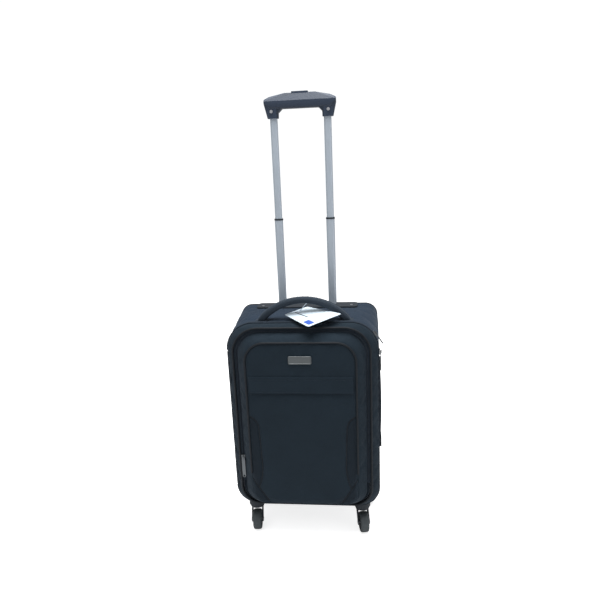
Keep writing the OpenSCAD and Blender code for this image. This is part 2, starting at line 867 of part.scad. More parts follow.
// Everything that is hollow inside the grip: the legs' sockets, the yoke's room, the rods'
// channels, the button's window, the spring's seat and the rivets' holes.
module grip_hollows() {
    room = 0.6;
    on_legs() oval_bar(grown(inner_size, 0.15), grip_leg_z - 1, inner_high + 0.3);
    translate([-rod_x - 5, trolley_y - 5, yoke_z - room])
        cube([2 * rod_x + 10, 10, yoke_h + button_travel + 2 * room]);
    for (side = [-1, 1]) {
        translate([side * rod_x, trolley_y, inner_high - 1]) cylinder(r = rod_r + 0.6, h = 14);
    }
    translate([-button_size[0] / 2 - 0.3, trolley_y - button_size[1] / 2 - 0.3, yoke_z - room])
        cube([button_size[0] + 0.6, button_size[1] + 0.6, grip_d]);
    translate([0, trolley_y, spring_low - 0.3]) cylinder(r = spring_r + 1, h = 4);
    on_rivets() cylinder(r = rivet_r + 0.1, h = 2 * grip_d, center = true);
}

module grip_front_half() {
    color(plastic) difference() {
        grip_body();
        grip_hollows();
        translate([-grip_w, trolley_y - 0.02, 0]) cube([2 * grip_w, grip_d, 2 * grip_top_z]);
    }
}

module grip_rear_half() {
    color(plastic) difference() {
        grip_body();
        grip_hollows();
        translate([-grip_w, trolley_y + 0.02 - grip_d, 0]) cube([2 * grip_w, grip_d, 2 * grip_top_z]);
    }
}

module grip_rivets() {
    face = grip_d / 2 + 0.1;
    color(silver) on_rivets() {
        cylinder(r = rivet_r, h = 2 * face, center = true);
        for (side = [-1, 1]) {
            translate([0, 0, side * (face + 0.6)]) cylinder(r = 3.6, h = 1.2, center = true);
        }
    }
}

// Push button with the yoke that joins it to both release rods. Drawn held down.
module push_button() {
    color(plastic) difference() {
        union() {
            translate([-rod_x - 4, trolley_y - 4.4, yoke_z]) cube([2 * rod_x + 8, 8.8, yoke_h]);
            translate([-button_size[0] / 2, trolley_y - button_size[1] / 2, yoke_z])
                cube([button_size[0], button_size[1], button_top_z - yoke_z]);
        }
        translate([0, trolley_y, yoke_z - 1]) cylinder(r = spring_r + 1, h = spring_h);
    }
}

module release_rods() {
    color(steel) for (side = [-1, 1]) {
        translate([side * rod_x, trolley_y, rod_low]) cylinder(r = rod_r, h = yoke_z - 0.05 - rod_low);
    }
}

// A point on the coil's skin: i counts along the wire, j counts round it.
function coil_point(i, j, n, m) =
    let (turn = 360 * spring_turns * i / n, round = 360 * j / m)
    let (reach = spring_r + spring_wire_r * cos(round))
    [
        reach * cos(turn),
        reach * sin(turn),
        spring_wire_r + (spring_h - 2 * spring_wire_r) * i / n + spring_wire_r * sin(round)
    ];

module button_spring() {
    n = spring_turns * 16;
    m = 6;
    points = [for (i = [0:n], j = [0:m - 1]) coil_point(i, j, n, m)];
    sides = [for (i = [0:n - 1], j = [0:m - 1])
        [i * m + j, i * m + (j + 1) % m, (i + 1) * m + (j + 1) % m, (i + 1) * m + j]];
    ends = [[for (j = [m - 1:-1:0]) j], [for (j = [0:m - 1]) n * m + j]];
    color(steel) translate([0, trolley_y, spring_low]) polyhedron(points, concat(sides, ends));
}

// ---------- casters ----------

// Turns children, drawn with the trail along +X, to a caster's place and heading.
module at_caster(caster) {
    translate([caster[0], caster[1], 0]) rotate([0, 0, caster[2]]) children();
}

module along_axle() {
    translate([trail, 0, wheel_r]) rotate([90, 0, 0]) children();
}

module fork(caster) {
    blade_y = wheel_w / 2 + blade_gap;
    disc_z = wheel_d + 5.5;
    color(plastic) at_caster(caster) difference() {
        union() {
            translate([0, 0, disc_z]) cylinder(r = 17, h = housing_z - 0.2 - disc_z);
            translate([0, 0, disc_z + 1]) cylinder(r = stem_r, h = housing_z + 20.5 - disc_z - 1);
            for (side = [-1, 1]) {
                translate([0, side * (blade_y + blade_t / 2), 0]) hull() {
                    translate([1, 0, disc_z - 4]) rotate([90, 0, 0])
                        cylinder(r = 8, h = blade_t, center = true, $fn = hull_fn);
                    translate([trail, 0, wheel_r]) rotate([90, 0, 0])
                        cylinder(r = 7, h = blade_t, center = true, $fn = hull_fn);
                }
            }
        }
        along_axle() cylinder(r = axle_r + 0.02, h = 3 * wheel_w, center = true);
    }
}

module axle(caster) {
    half_l = wheel_w / 2 + blade_gap + blade_t + 0.1;
    color(steel) at_caster(caster) along_axle() {
        cylinder(r = axle_r, h = 2 * half_l, center = true);
        for (side = [-1, 1]) {
            translate([0, 0, side * (half_l + 0.5)]) cylinder(r = 4, h = 1, center = true);
        }
    }
}

module wheel(caster) {
    edge = 5;
    half_w = wheel_w / 2;
    bore = axle_r + 0.06;
    color(trim) at_caster(caster) along_axle() difference() {
        rotate_extrude($fn = 96) {
            translate([bore, -half_w + 1]) square([wheel_r - edge - bore, wheel_w - 2]);
            translate([wheel_r - edge - 1, -half_w + edge]) square([edge + 1, wheel_w - 2 * edge]);
            for (side = [-1, 1]) {
                translate([wheel_r - edge, side * (half_w - edge)]) circle(edge);
            }
        }
        for (side = [-1, 1]) {
            translate([0, 0, side * half_w]) difference() {
                cylinder(r = 17, h = 5, center = true);
                cylinder(r = 6.5, h = 6, center = true);
            }
        }
    }
}

module fork_front_left() { fork(front_left_caster); }
module fork_front_right() { fork(front_right_caster); }
module fork_rear_left() { fork(rear_left_caster); }
module fork_rear_right() { fork(rear_right_caster); }
module axle_front_left() { axle(front_left_caster); }
module axle_front_right() { axle(front_right_caster); }
module axle_rear_left() { axle(rear_left_caster); }
module axle_rear_right() { axle(rear_right_caster); }
module wheel_front_left() { wheel(front_left_caster); }
module wheel_front_right() { wheel(front_right_caster); }
module wheel_rear_left() { wheel(rear_left_caster); }
module wheel_rear_right() { wheel(rear_right_caster); }

back_board();
back_cover();
rear_piping();
side_wrap();
shell_lining();
frame_wires();
base_tray();
caster_housings();
case_screws();
side_feet();
outer_tubes();
tube_foot_bracket();
trolley_bezel();
side_handle_strap();
side_handle_mounts();
case_zip_half();
lid_hinge_strip();
lid_gusset();
lid_board();
lid_lining();
lid_piping();
lid_zip_half();
pocket_zip_tape();
pocket_zip_slider();
pocket_zip_pull();
pocket_panel();
panel_piping();
name_plate();
panel_overlays();
flap_zip();
pocket_flap();
upper_zip_slider();
upper_zip_pull();
lower_zip_slider();
lower_zip_pull();
top_handle();
hang_tag();
middle_tubes();
stage_collars();
inner_tubes();
inner_plugs();
lock_pins();
grip_front_half();
grip_rear_half();
grip_rivets();
push_button();
release_rods();
button_spring();
fork_front_left();
axle_front_left();
wheel_front_left();
fork_front_right();
axle_front_right();
wheel_front_right();
fork_rear_left();
axle_rear_left();
wheel_rear_left();
fork_rear_right();
axle_rear_right();
wheel_rear_right();
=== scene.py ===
"""Looks of a softside cabin suitcase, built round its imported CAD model. Metres, front at -Y."""
import json
import math

import bmesh
import bpy
import numpy as np
from mathutils import Matrix, Vector, noise
from mathutils.bvhtree import BVHTree
from mathutils.kdtree import KDTree


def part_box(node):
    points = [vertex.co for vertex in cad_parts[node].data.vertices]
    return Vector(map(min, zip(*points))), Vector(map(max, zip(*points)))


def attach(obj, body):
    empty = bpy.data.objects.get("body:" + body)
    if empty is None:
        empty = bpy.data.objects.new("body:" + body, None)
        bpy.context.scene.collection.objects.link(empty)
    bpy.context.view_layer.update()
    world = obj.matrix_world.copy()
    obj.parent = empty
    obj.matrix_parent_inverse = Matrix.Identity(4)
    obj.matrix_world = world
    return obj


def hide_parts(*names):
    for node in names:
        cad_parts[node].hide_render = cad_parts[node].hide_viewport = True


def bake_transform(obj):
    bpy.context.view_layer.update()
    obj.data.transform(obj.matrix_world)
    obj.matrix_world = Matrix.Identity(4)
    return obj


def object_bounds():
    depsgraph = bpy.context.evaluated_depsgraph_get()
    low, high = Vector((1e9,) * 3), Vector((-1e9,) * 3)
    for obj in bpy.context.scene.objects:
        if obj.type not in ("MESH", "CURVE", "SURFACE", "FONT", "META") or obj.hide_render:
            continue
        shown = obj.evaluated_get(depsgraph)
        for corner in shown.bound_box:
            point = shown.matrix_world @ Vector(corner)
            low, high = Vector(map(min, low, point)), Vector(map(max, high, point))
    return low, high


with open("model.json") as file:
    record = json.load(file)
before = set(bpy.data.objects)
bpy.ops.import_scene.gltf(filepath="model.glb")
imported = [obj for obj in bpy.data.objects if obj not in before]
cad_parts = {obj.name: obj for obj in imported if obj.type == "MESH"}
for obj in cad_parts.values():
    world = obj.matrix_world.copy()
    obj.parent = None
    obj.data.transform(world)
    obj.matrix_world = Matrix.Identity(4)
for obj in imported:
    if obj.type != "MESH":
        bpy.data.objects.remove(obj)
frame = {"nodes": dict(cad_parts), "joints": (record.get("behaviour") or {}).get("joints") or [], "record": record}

CAD_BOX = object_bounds()
MM = 0.001


# ---------- outlines ----------

class Outline:
    """A rounded rectangle that faces the front, centred on X = 0."""

    across, up, corner = 42, 60, 12    # steps along a straight top, a straight side and a corner

    def __init__(self, half_w, low, high, r_low, r_high):
        self.half_w, self.low, self.high = half_w, low, high
        self.r_low, self.r_high = r_low, r_high

    def inset(self, d):
        return Outline(self.half_w - d, self.low + d, self.high - d, self.r_low - d, self.r_high - d)

    def mix(self, other, t):
        mine = (self.half_w, self.low, self.high, self.r_low, self.r_high)
        theirs = (other.half_w, other.low, other.high, other.r_low, other.r_high)
        return Outline(*[a + (b - a) * t for a, b in zip(mine, theirs)])

    def loop(self):
        """Points (x, z), counter-clockwise from the start of the lower right corner."""
        x_low, x_high = self.half_w - self.r_low, self.half_w - self.r_high
        z_low, z_high = self.low + self.r_low, self.high - self.r_high
        corners = [(x_low, z_low, self.r_low, -90), (x_high, z_high, self.r_high, 0),
                   (-x_high, z_high, self.r_high, 90), (-x_low, z_low, self.r_low, 180)]
        steps = [self.up, self.across, self.up, self.across]

        def on_corner(number, turn):
            x, z, r, start = corners[number % 4]
            angle = math.radians(start + turn)
            return x + r * math.cos(angle), z + r * math.sin(angle)

        points = []
        for i in range(4):
            points += [on_corner(i, 90 * k / self.corner) for k in range(self.corner)]
            start, end = Vector(on_corner(i, 90)), Vector(on_corner(i + 1, 0))
            points += [tuple(start.lerp(end, k / steps[i])) for k in range(steps[i])]
        return points

    def half_width_at(self, z):
        r, into = self.r_low, self.low + self.r_low - z
        if z > (self.low + self.high) / 2:
            r, into = self.r_high, z - self.high + self.r_high
        if into <= 0:
            return self.half_w
        return self.half_w - r + math.sqrt(max(r * r - into * into, 0))

    def levels(self, pitch):
        """Heights from low to high, closer together where the outline turns."""
        turn = [math.radians(90 * k / self.corner) for k in range(self.corner)]
        straight_low, straight_high = self.low + self.r_low, self.high - self.r_high
        count = round((straight_high - straight_low) / pitch)
        return ([straight_low - self.r_low * math.cos(a) for a in turn]
                + list(np.linspace(straight_low, straight_high, count))
                + [straight_high + self.r_high * math.sin(a) for a in turn[1:]] + [self.high])

    def edge_distance(self, x, z):
        """How far a point inside is from the outline."""
        r = self.r_low if z < (self.low + self.high) / 2 else self.r_high
        dx = abs(x) - self.half_w + r
        dz = abs(z - (self.low + self.high) / 2) - (self.high - self.low) / 2 + r
        return max(r - math.hypot(max(dx, 0), max(dz, 0)) - min(max(dx, dz), 0), 0)


# ---------- sizes, from the frame ----------

wrap_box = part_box("side_wrap")
gusset_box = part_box("lid_gusset")
lid_piping_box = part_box("lid_piping")
panel_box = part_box("pocket_panel")
panel_piping_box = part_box("panel_piping")
lining_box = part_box("shell_lining")
flap_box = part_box("pocket_flap")
bezel_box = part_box("trolley_bezel")
handle_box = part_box("top_handle")
strap_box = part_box("side_handle_strap")

PIPING_R = 2.6 * MM
INNER_PIPING_R = 2.3 * MM
SHELL_FRONT, SHELL_BACK = wrap_box[0].y, wrap_box[1].y
LID_BACK, LID_FRONT = gusset_box[1].y, gusset_box[0].y
ZIP_Y = (SHELL_FRONT + LID_BACK) / 2
POCKET_BACK = panel_box[1].y
FACE_Y = panel_box[0].y                          # crown of the front pocket's face
FACE_EDGE_Y = FACE_Y + 3 * MM

CASE = Outline(wrap_box[1].x, wrap_box[0].z, wrap_box[1].z, 48 * MM, 64 * MM)
CASE_REAR = Outline(CASE.half_w, CASE.low, CASE.high, 30 * MM, 30 * MM)
FRONT = Outline(lid_piping_box[1].x - PIPING_R, lid_piping_box[0].z + PIPING_R,
                lid_piping_box[1].z - PIPING_R, 44 * MM, 60 * MM)
RIM = Outline(panel_box[1].x, panel_box[0].z, panel_box[1].z, 36 * MM, 50 * MM)
PANEL = Outline(panel_piping_box[1].x - INNER_PIPING_R, panel_box[0].z + 8 * MM,
                panel_piping_box[1].z - INNER_PIPING_R, 30 * MM, 46 * MM)
FLAP_HW, FLAP_LOW, FLAP_TOP = flap_box[1].x, flap_box[0].z, flap_box[1].z

# The insert up each side of the face, and the patch on each lower corner
SHOULDER_R, SHOULDER_X, SHOULDER_Z = 34 * MM, 102 * MM, 300 * MM
FOOT_R, FOOT_X, FOOT_Z = 156 * MM, 98.5 * MM, 206 * MM
INSERT_LOW = 146 * MM
INSERT_TOP = SHOULDER_Z + SHOULDER_R
OVERLAY_HW = PANEL.half_w - 5 * MM
PATCH_TOP = 172 * MM
PATCH_X = 84 * MM


def insert_edge(z):
    """X of the insert's inner edge: a round shoulder, a straight part, and a foot that curves out."""
    if z > SHOULDER_Z:
        return SHOULDER_X + SHOULDER_R - math.sqrt(max(SHOULDER_R ** 2 - (z - SHOULDER_Z) ** 2, 0))
    if z > FOOT_Z:
        return FOOT_X + (SHOULDER_X - FOOT_X) * (z - FOOT_Z) / (SHOULDER_Z - FOOT_Z)
    return FOOT_X + FOOT_R - math.sqrt(FOOT_R ** 2 - (z - FOOT_Z) ** 2)


def patch_edge(z):
    """X of the corner patch's inner edge, a straight slope."""
    t = (z - PANEL.low) / (PATCH_TOP - PANEL.low)
    return PATCH_X + (PANEL.half_w - PATCH_X) * t


# ---------- mesh helpers ----------

def add_mesh(name, verts, faces):
    mesh = bpy.data.meshes.new(name)
    mesh.from_pydata([tuple(v) for v in verts], [], faces)
    mesh.polygons.foreach_set("use_smooth", [True] * len(mesh.polygons))
    mesh.update()
    piece = bpy.data.objects.new(name, mesh)
    bpy.context.scene.collection.objects.link(piece)
    return piece


def grid_faces(rows, cols, closed):
    faces = []
    for r in range(rows - 1):
        for c in range(cols if closed else cols - 1):
            d = (c + 1) % cols
            faces.append((r * cols + c, r * cols + d, (r + 1) * cols + d, (r + 1) * cols + c))
    return faces


def sheet(name, rows, closed=False):
    """One layer of fabric from rows of points. closed joins the end of each row to its start."""
    verts = [p for row in rows for p in row]
    return add_mesh(name, verts, grid_faces(len(rows), len(rows[0]), closed))


def band(name, first, y_first, last, y_last, steps, crown=0.0):
    """A sheet round the case between two outlines, from its back edge to its front edge."""
    rows = []
    for k in range(steps + 1):
        t = k / steps
        outline = first.mix(last, t).inset(-crown * math.sin(math.pi * t))
        y = y_first + (y_last - y_first) * t
        rows.append([(x, y, z) for x, z in outline.loop()])
    return sheet(name, rows, closed=True)


def field(name, outline, y_at, pitch=6 * MM, faces_back=False):
    """A sheet that fills an outline. y_at(x, z) gives its depth."""
    cols = round(2 * outline.half_w / pitch)
    side = -1 if faces_back else 1
    rows = []
    for z in outline.levels(pitch):
        half = outline.half_width_at(z)
        row = []
        for u in np.linspace(-1, 1, cols):
            x = side * u * half
            row.append((x, y_at(x, z), z))
        rows.append(row)
    return sheet(name, rows)


def tube(name, centres, sideways, normals, half_w, half_t, squareness=3.0, around=24):
    """A padded strip along centres, half_w[i] by half_t[i] at each, with closed ends."""
    verts = []
    for centre, side, normal, w, t in zip(centres, sideways, normals, half_w, half_t):
        for k in range(around):
            angle = 2 * math.pi * k / around
            c, s = math.cos(angle), math.sin(angle)
            across = math.copysign(abs(c) ** (2 / squareness), c) * w
            rise = math.copysign(abs(s) ** (2 / squareness), s) * t
            verts.append(centre + side * across + normal * rise)
    faces = grid_faces(len(centres), around, True)
    faces.append(tuple(range(around))[::-1])
    faces.append(tuple(range(len(verts) - around, len(verts))))
    return add_mesh(name, verts, faces)


def apply_modifiers(piece):
    graph = bpy.context.evaluated_depsgraph_get()
    mesh = bpy.data.meshes.new_from_object(piece.evaluated_get(graph))
    piece.modifiers.clear()
    piece.data = mesh


def smoothen(piece):
    smooth = piece.modifiers.new("smooth", "SUBSURF")
    smooth.levels = smooth.render_levels = 1
    apply_modifiers(piece)


def thicken(piece, thickness):
    """Gives a sheet its thickness behind the shown side, and smooths it."""
    solid = piece.modifiers.new("thickness", "SOLIDIFY")
    solid.thickness = thickness
    solid.offset = -1
    smoothen(piece)


def join_parts(name, parts):
    """One mesh from a list of (verts, faces)."""
    verts, faces = [], []
    for part_verts, part_faces in parts:
        start = len(verts)
        verts += [tuple(v) for v in part_verts]
        faces += [tuple(start + i for i in face) for face in part_faces]
    return add_mesh(name, verts, faces)


# ---------- cloth ----------

CLOTH_FRAMES = 18
CLOTH_JOBS = []


def sew_down(piece, pinned, pressure, slack, cap):
    """Has the cloth simulation swell a sheet between its sewn points. No point moves more than cap."""
    rest = np.array([v.co for v in piece.data.vertices])
    CLOTH_JOBS.append((piece, rest, cap))
    for v in piece.data.vertices:    # small hollows decide where the slack folds
        v.co += v.normal * 0.5 * MM * noise.noise(v.co * 38)
    group = piece.vertex_groups.new(name="sewn")
    group.add([int(i) for i in np.flatnonzero(pinned)], 1.0, "REPLACE")
    cloth = piece.modifiers.new("cloth", "CLOTH")
    cloth.settings.vertex_group_mass = "sewn"
    cloth.settings.use_pressure = True
    cloth.settings.uniform_pressure_force = pressure
    cloth.settings.shrink_min = -slack
    cloth.settings.shrink_max = -slack
    cloth.settings.quality = 4
    cloth.settings.mass = 0.3
    cloth.settings.tension_stiffness = 12
    cloth.settings.compression_stiffness = 12
    cloth.settings.shear_stiffness = 5
    cloth.settings.bending_stiffness = 0.6
    cloth.settings.effector_weights.gravity = 0
    cloth.collision_settings.use_collision = False
    cloth.point_cache.frame_start = 1
    cloth.point_cache.frame_end = CLOTH_FRAMES


def run_cloth():
    """Steps every waiting sheet together, then keeps the simulated shape in its mesh."""
    for step in range(1, CLOTH_FRAMES + 1):
        bpy.context.scene.frame_set(step)
    for piece, rest, cap in CLOTH_JOBS:
        apply_modifiers(piece)
        moved = np.array([v.co for v in piece.data.vertices]) - rest
        length = np.maximum(np.linalg.norm(moved, axis=1), 1e-9)
        allowed = cap * np.tanh(length / cap)
        points = rest + moved * (allowed / length)[:, None]
        piece.data.vertices.foreach_set("co", points.ravel())
        piece.data.update()
    bpy.context.scene.frame_set(1)


def open_edges(piece):
    """True for the points on a sheet's open edges."""
    uses = {}
    for polygon in piece.data.polygons:
        for edge in polygon.edge_keys:
            uses[edge] = uses.get(edge, 0) + 1
    on_edge = np.zeros(len(piece.data.vertices), bool)
    on_edge[[point for edge, count in uses.items() if count == 1 for point in edge]] = True
    return on_edge


def near_nodes(piece, nodes, reach):
    """True for the points within reach of the given CAD nodes' vertices."""
    verts = [v.co for node in nodes for v in frame["nodes"][node].data.vertices]
    tree = KDTree(len(verts))
    for i, co in enumerate(verts):
        tree.insert(co, i)
    tree.balance()
    return np.array([tree.find(v.co)[2] < reach for v in piece.data.vertices])


def inside_box(piece, low, high):
    """True for the points between two corners, looking down."""
    return np.array([low.x < v.co.x < high.x and low.y < v.co.y < high.y and low.z < v.co.z
                     for v in piece.data.vertices])


# ---------- materials ----------

class Shader:
    """A material whose nodes are added and wired in one call each."""

    def __init__(self, name):
        self.material = bpy.data.materials.new(name)
        self.material.use_nodes = True
        self.tree = self.material.node_tree
        self.surface = self.tree.nodes["Principled BSDF"]
        self.place = self.add("ShaderNodeTexCoord").outputs["Object"]

    def add(self, kind, inputs=None, **settings):
        node = self.tree.nodes.new(kind)
        for key, value in settings.items():
            setattr(node, key, value)
        for key, value in (inputs or {}).items():
            self.put(node.inputs[key], value)
        return node

    def put(self, socket, value):
        if isinstance(value, bpy.types.NodeSocket):
            self.tree.links.new(value, socket)
        else:
            socket.default_value = value

    def math(self, operation, a, b=0.0):
        return self.add("ShaderNodeMath", {0: a, 1: b}, operation=operation).outputs[0]

    def vector(self, operation, a, b=(0, 0, 0)):
        return self.add("ShaderNodeVectorMath", {0: a, 1: b}, operation=operation)

    def noise(self, scale, detail=3.0, stretch=(1, 1, 1), rough=0.5):
        """Noise from 0 to 1. scale is in features per metre; stretch squeezes it along an axis."""
        place = self.vector("MULTIPLY", self.place, stretch).outputs[0]
        inputs = {"Vector": place, "Scale": scale, "Detail": detail, "Roughness": rough}
        return self.add("ShaderNodeTexNoise", inputs).outputs[0]

    def spread(self, value, low, high):
        """Maps 0..1 to low..high."""
        inputs = {"Value": value, "To Min": low, "To Max": high}
        return self.add("ShaderNodeMapRange", inputs).outputs[0]

    def shade(self, color, factor):
        """The colour times a factor."""
        node = self.vector("SCALE", tuple(color))
        self.put(node.inputs["Scale"], factor)
        return node.outputs[0]

    def weave(self, pitch):
        """Height of a plain weave, the same on faces of every direction."""
        angle = self.vector("SCALE", self.place)
        self.put(angle.inputs["Scale"], math.pi / pitch)
        waves = self.vector("SINE", angle.outputs[0]).outputs[0]
        parts = self.add("ShaderNodeSeparateXYZ", {0: waves}).outputs
        turned = self.add("ShaderNodeCombineXYZ", {0: parts[1], 1: parts[2], 2: parts[0]}).outputs[0]
        again = self.add("ShaderNodeCombineXYZ", {0: parts[2], 1: parts[0], 2: parts[1]}).outputs[0]
        product = self.vector("MULTIPLY", turned, again).outputs[0]
        normal = self.add("ShaderNodeNewGeometry").outputs["Normal"]
        squared = self.vector("MULTIPLY", normal, normal).outputs[0]
        return self.spread(self.vector("DOT_PRODUCT", product, squared).outputs["Value"], 0.5, 1.0)

    def bump(self, height, distance, strength=1.0, under=None):
        inputs = {"Height": height, "Distance": distance, "Strength": strength}
        if under is not None:
            inputs["Normal"] = under
        return self.add("ShaderNodeBump", inputs).outputs[0]

    def set(self, **inputs):
        for key, value in inputs.items():
            self.put(self.surface.inputs[key.replace("_", " ")], value)
        return self.material


def woven(name, color, pitch, sheen=0.10, roughness=0.88):
    """Matt woven cloth: threads, flecks of lighter yarn, and faint rubbed areas."""
    s = Shader(name)
    threads = s.weave(pitch)
    flecks = s.noise(0.9 / pitch, detail=2)
    rubbed = s.noise(14, detail=5)
    tone = s.math("MULTIPLY", s.spread(threads, 0.72, 1.1), s.spread(flecks, 0.72, 1.35))
    tone = s.math("MULTIPLY", tone, s.spread(rubbed, 0.82, 1.22))
    creases = s.bump(s.noise(60, detail=4), 1.2 * MM, 0.35)
    relief = s.bump(threads, 0.35 * MM, 0.8, creases)
    s.put(s.surface.inputs["Base Color"], s.shade(color, tone))
    return s.set(Roughness=roughness, Sheen_Weight=sheen, Sheen_Roughness=0.45,
                 Sheen_Tint=(0.62, 0.72, 0.85, 1), Normal=relief, Specular_IOR_Level=0.15)


def moulded(name, color, roughness, grain=900.0):
    """Moulded plastic or rubber: fine texture, duller patches and worn edges."""
    s = Shader(name)
    patches = s.noise(30, detail=5)
    edges = s.add("ShaderNodeNewGeometry").outputs["Pointiness"]
    worn = s.add("ShaderNodeMapRange", {"Value": edges, "From Min": 0.52, "From Max": 0.6,
                                        "To Min": 1.0, "To Max": 1.7}).outputs[0]
    tone = s.math("MULTIPLY", s.spread(patches, 0.88, 1.14), worn)
    s.put(s.surface.inputs["Base Color"], s.shade(color, tone))
    relief = s.bump(s.noise(grain, detail=2), 0.12 * MM, 0.6)
    return s.set(Roughness=s.spread(patches, roughness - 0.06, roughness + 0.1), Normal=relief,
                 Specular_IOR_Level=0.3)


def brushed(name, color, roughness, along=(1, 1, 0.02), metallic=1.0):
    """Metal with fine brush marks along one direction and faint smudges."""
    s = Shader(name)
    marks = s.noise(2600, detail=2, stretch=along)
    smudges = s.noise(22, detail=4)
    s.put(s.surface.inputs["Base Color"], s.shade(color, s.spread(marks, 0.88, 1.08)))
    rough = s.math("ADD", s.spread(marks, roughness - 0.08, roughness + 0.08),
                   s.spread(smudges, -0.06, 0.08))
    return s.set(Roughness=rough, Metallic=metallic, Normal=s.bump(marks, 0.03 * MM, 0.5))


def coated_cord(name, color):
    """The smooth coated cord of the pipings, wrinkled where it turns."""
    s = Shader(name)
    wrinkles = s.noise(240, detail=3)
    s.put(s.surface.inputs["Base Color"], s.shade(color, s.spread(wrinkles, 0.8, 1.25)))
    return s.set(Roughness=0.6, Specular_IOR_Level=0.2, Normal=s.bump(wrinkles, 0.3 * MM, 0.5))


def card(name, color):
    """Plain card: faint fibres and a soft gloss."""
    s = Shader(name)
    fibres = s.noise(900, detail=4)
    s.put(s.surface.inputs["Base Color"], s.shade(color, s.spread(fibres, 0.96, 1.02)))
    return s.set(Roughness=0.55, Normal=s.bump(fibres, 0.04 * MM, 0.4))


CLOTH = woven("fabric", (0.0100, 0.0180, 0.0265), 0.75 * MM)
# Painted light: the same fabric as CLOTH, painted lighter for the stronger light that falls on the top and sides.
CLOTH_PAINTED_LIGHT = woven("fabric_sides_painted_light", (0.0155, 0.0260, 0.0425), 0.75 * MM)
CLOTH_TRIM = woven("fabric_trim", (0.0080, 0.0135, 0.0200), 0.6 * MM)
WEBBING = woven("webbing", (0.023, 0.032, 0.044), 1.4 * MM)
LINING = woven("lining", (0.10, 0.11, 0.13), 0.4 * MM, sheen=0.15, roughness=0.6)
TAPE = woven("zip_tape", (0.017, 0.025, 0.036), 0.5 * MM)
CORD = coated_cord("piping", (0.008, 0.011, 0.015))
NYLON = coated_cord("zip_nylon", (0.015, 0.021, 0.029))
THREAD = coated_cord("thread", (0.022, 0.030, 0.042))
PLASTIC = moulded("plastic", (0.012, 0.015, 0.019), 0.6)
GRIP = moulded("grip", (0.017, 0.025, 0.041), 0.42)
WHEEL = moulded("wheel", (0.052, 0.061, 0.066), 0.55, grain=500.0)
BOARD = moulded("board", (0.03, 0.032, 0.036), 0.7)
ALUMINIUM = brushed("aluminium", (0.48, 0.54, 0.61), 0.42, metallic=0.6)
STEEL = brushed("steel", (0.62, 0.63, 0.66), 0.34, along=(1, 1, 1))
PEWTER = brushed("pewter", (0.13, 0.14, 0.15), 0.4, along=(0.1, 1, 1))
PLATE = brushed("plate", (0.115, 0.125, 0.13), 0.4, along=(0.02, 1, 1))
PAPER = card("paper", (0.64, 0.74, 0.82))
INK = card("blue_ink", (0.03, 0.09, 0.42))

SLOT_MATERIALS = {
    "fabric": CLOTH, "fabric_trim": CLOTH_TRIM, "handle_fabric": WEBBING, "lining": LINING,
    "piping": CORD, "zip": TAPE, "board": BOARD, "plastic": PLASTIC, "grip": GRIP, "wheel": WHEEL,
    "aluminium": ALUMINIUM, "steel": STEEL, "pewter": PEWTER, "plate": PLATE, "paper": PAPER,
}


def dress(piece, material):
    piece.data.materials.clear()
    piece.data.materials.append(material)


def dress_cad_nodes():
    for subpart in frame["record"]["subparts"]:
        piece = frame["nodes"][subpart["node"]]
        dress(piece, SLOT_MATERIALS[subpart["material_slot"]])
        piece.data.polygons.foreach_set("use_smooth", [True] * len(piece.data.polygons))
        if subpart["material_slot"] == "grip":
            edges = piece.modifiers.new("rounded_edges", "BEVEL")
            edges.width = 1.2 * MM
            edges.segments = 3
            edges.limit_method = "ANGLE"
            edges.angle_limit = math.radians(25)
        piece.modifiers.new("sharp_edges", "EDGE_SPLIT").split_angle = math.radians(32)
    dress(frame["nodes"]["lid_board"], CLOTH_TRIM)


def settle(piece, material, slot, body, *replaced):
    """Gives a finished piece its material and its body, and hides the CAD nodes it stands for. Its slot is not
    used.
    """
    dress(piece, material)
    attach(piece, body)
    if replaced:
        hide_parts(*replaced)


# ---------- stitches and zip teeth ----------

def capsule(centre, along, normal, half_l, half_w):
    """One stitch: a small closed spindle, six-sided in the middle."""
    side = along.cross(normal).normalized()
    verts = [centre - along * half_l, centre + along * half_l]
    for end in (-0.5, 0.5):
        for k in range(6):
            angle = math.pi * k / 3
            around = side * math.cos(angle) + normal * math.sin(angle)
            verts.append(centre + along * half_l * end + around * half_w)
    faces = []
    for k in range(6):
        n = (k + 1) % 6
        faces += [(0, 2 + n, 2 + k), (2 + k, 2 + n, 8 + n, 8 + k), (1, 8 + k, 8 + n)]
    return verts, faces


def walk(points, pitch):
    """Even steps along a line of points: (place, direction) pairs."""
    places, left = [], pitch / 2
    for a, b in zip(points, points[1:]):
        a, b = Vector(a), Vector(b)
        length = (b - a).length
        if length < 1e-7:
            continue
        direction = (b - a) / length
        while left < length:
            places.append((a + direction * left, direction))
            left += pitch
        left -= length
    return places


def stitch_lines(name, lines, ground, toward, body, pitch=3.4 * MM):
    """Rows of stitches laid on a piece; toward is the direction in which they are pressed onto it."""
    graph = bpy.context.evaluated_depsgraph_get()
    tree = BVHTree.FromObject(ground, graph)
    toward = Vector(toward)
    parts = []
    for line in lines:
        for place, direction in walk(line, pitch):
            hit, normal, _, _ = tree.ray_cast(place - toward * 12 * MM, toward, 30 * MM)
            if hit is None:
                continue
            along = (direction - normal * direction.dot(normal)).normalized()
            parts.append(capsule(hit + normal * 0.1 * MM, along, normal, pitch * 0.36, 0.32 * MM))
    piece = join_parts(name, parts)
    settle(piece, THREAD, "fabric_trim", body)
    return piece


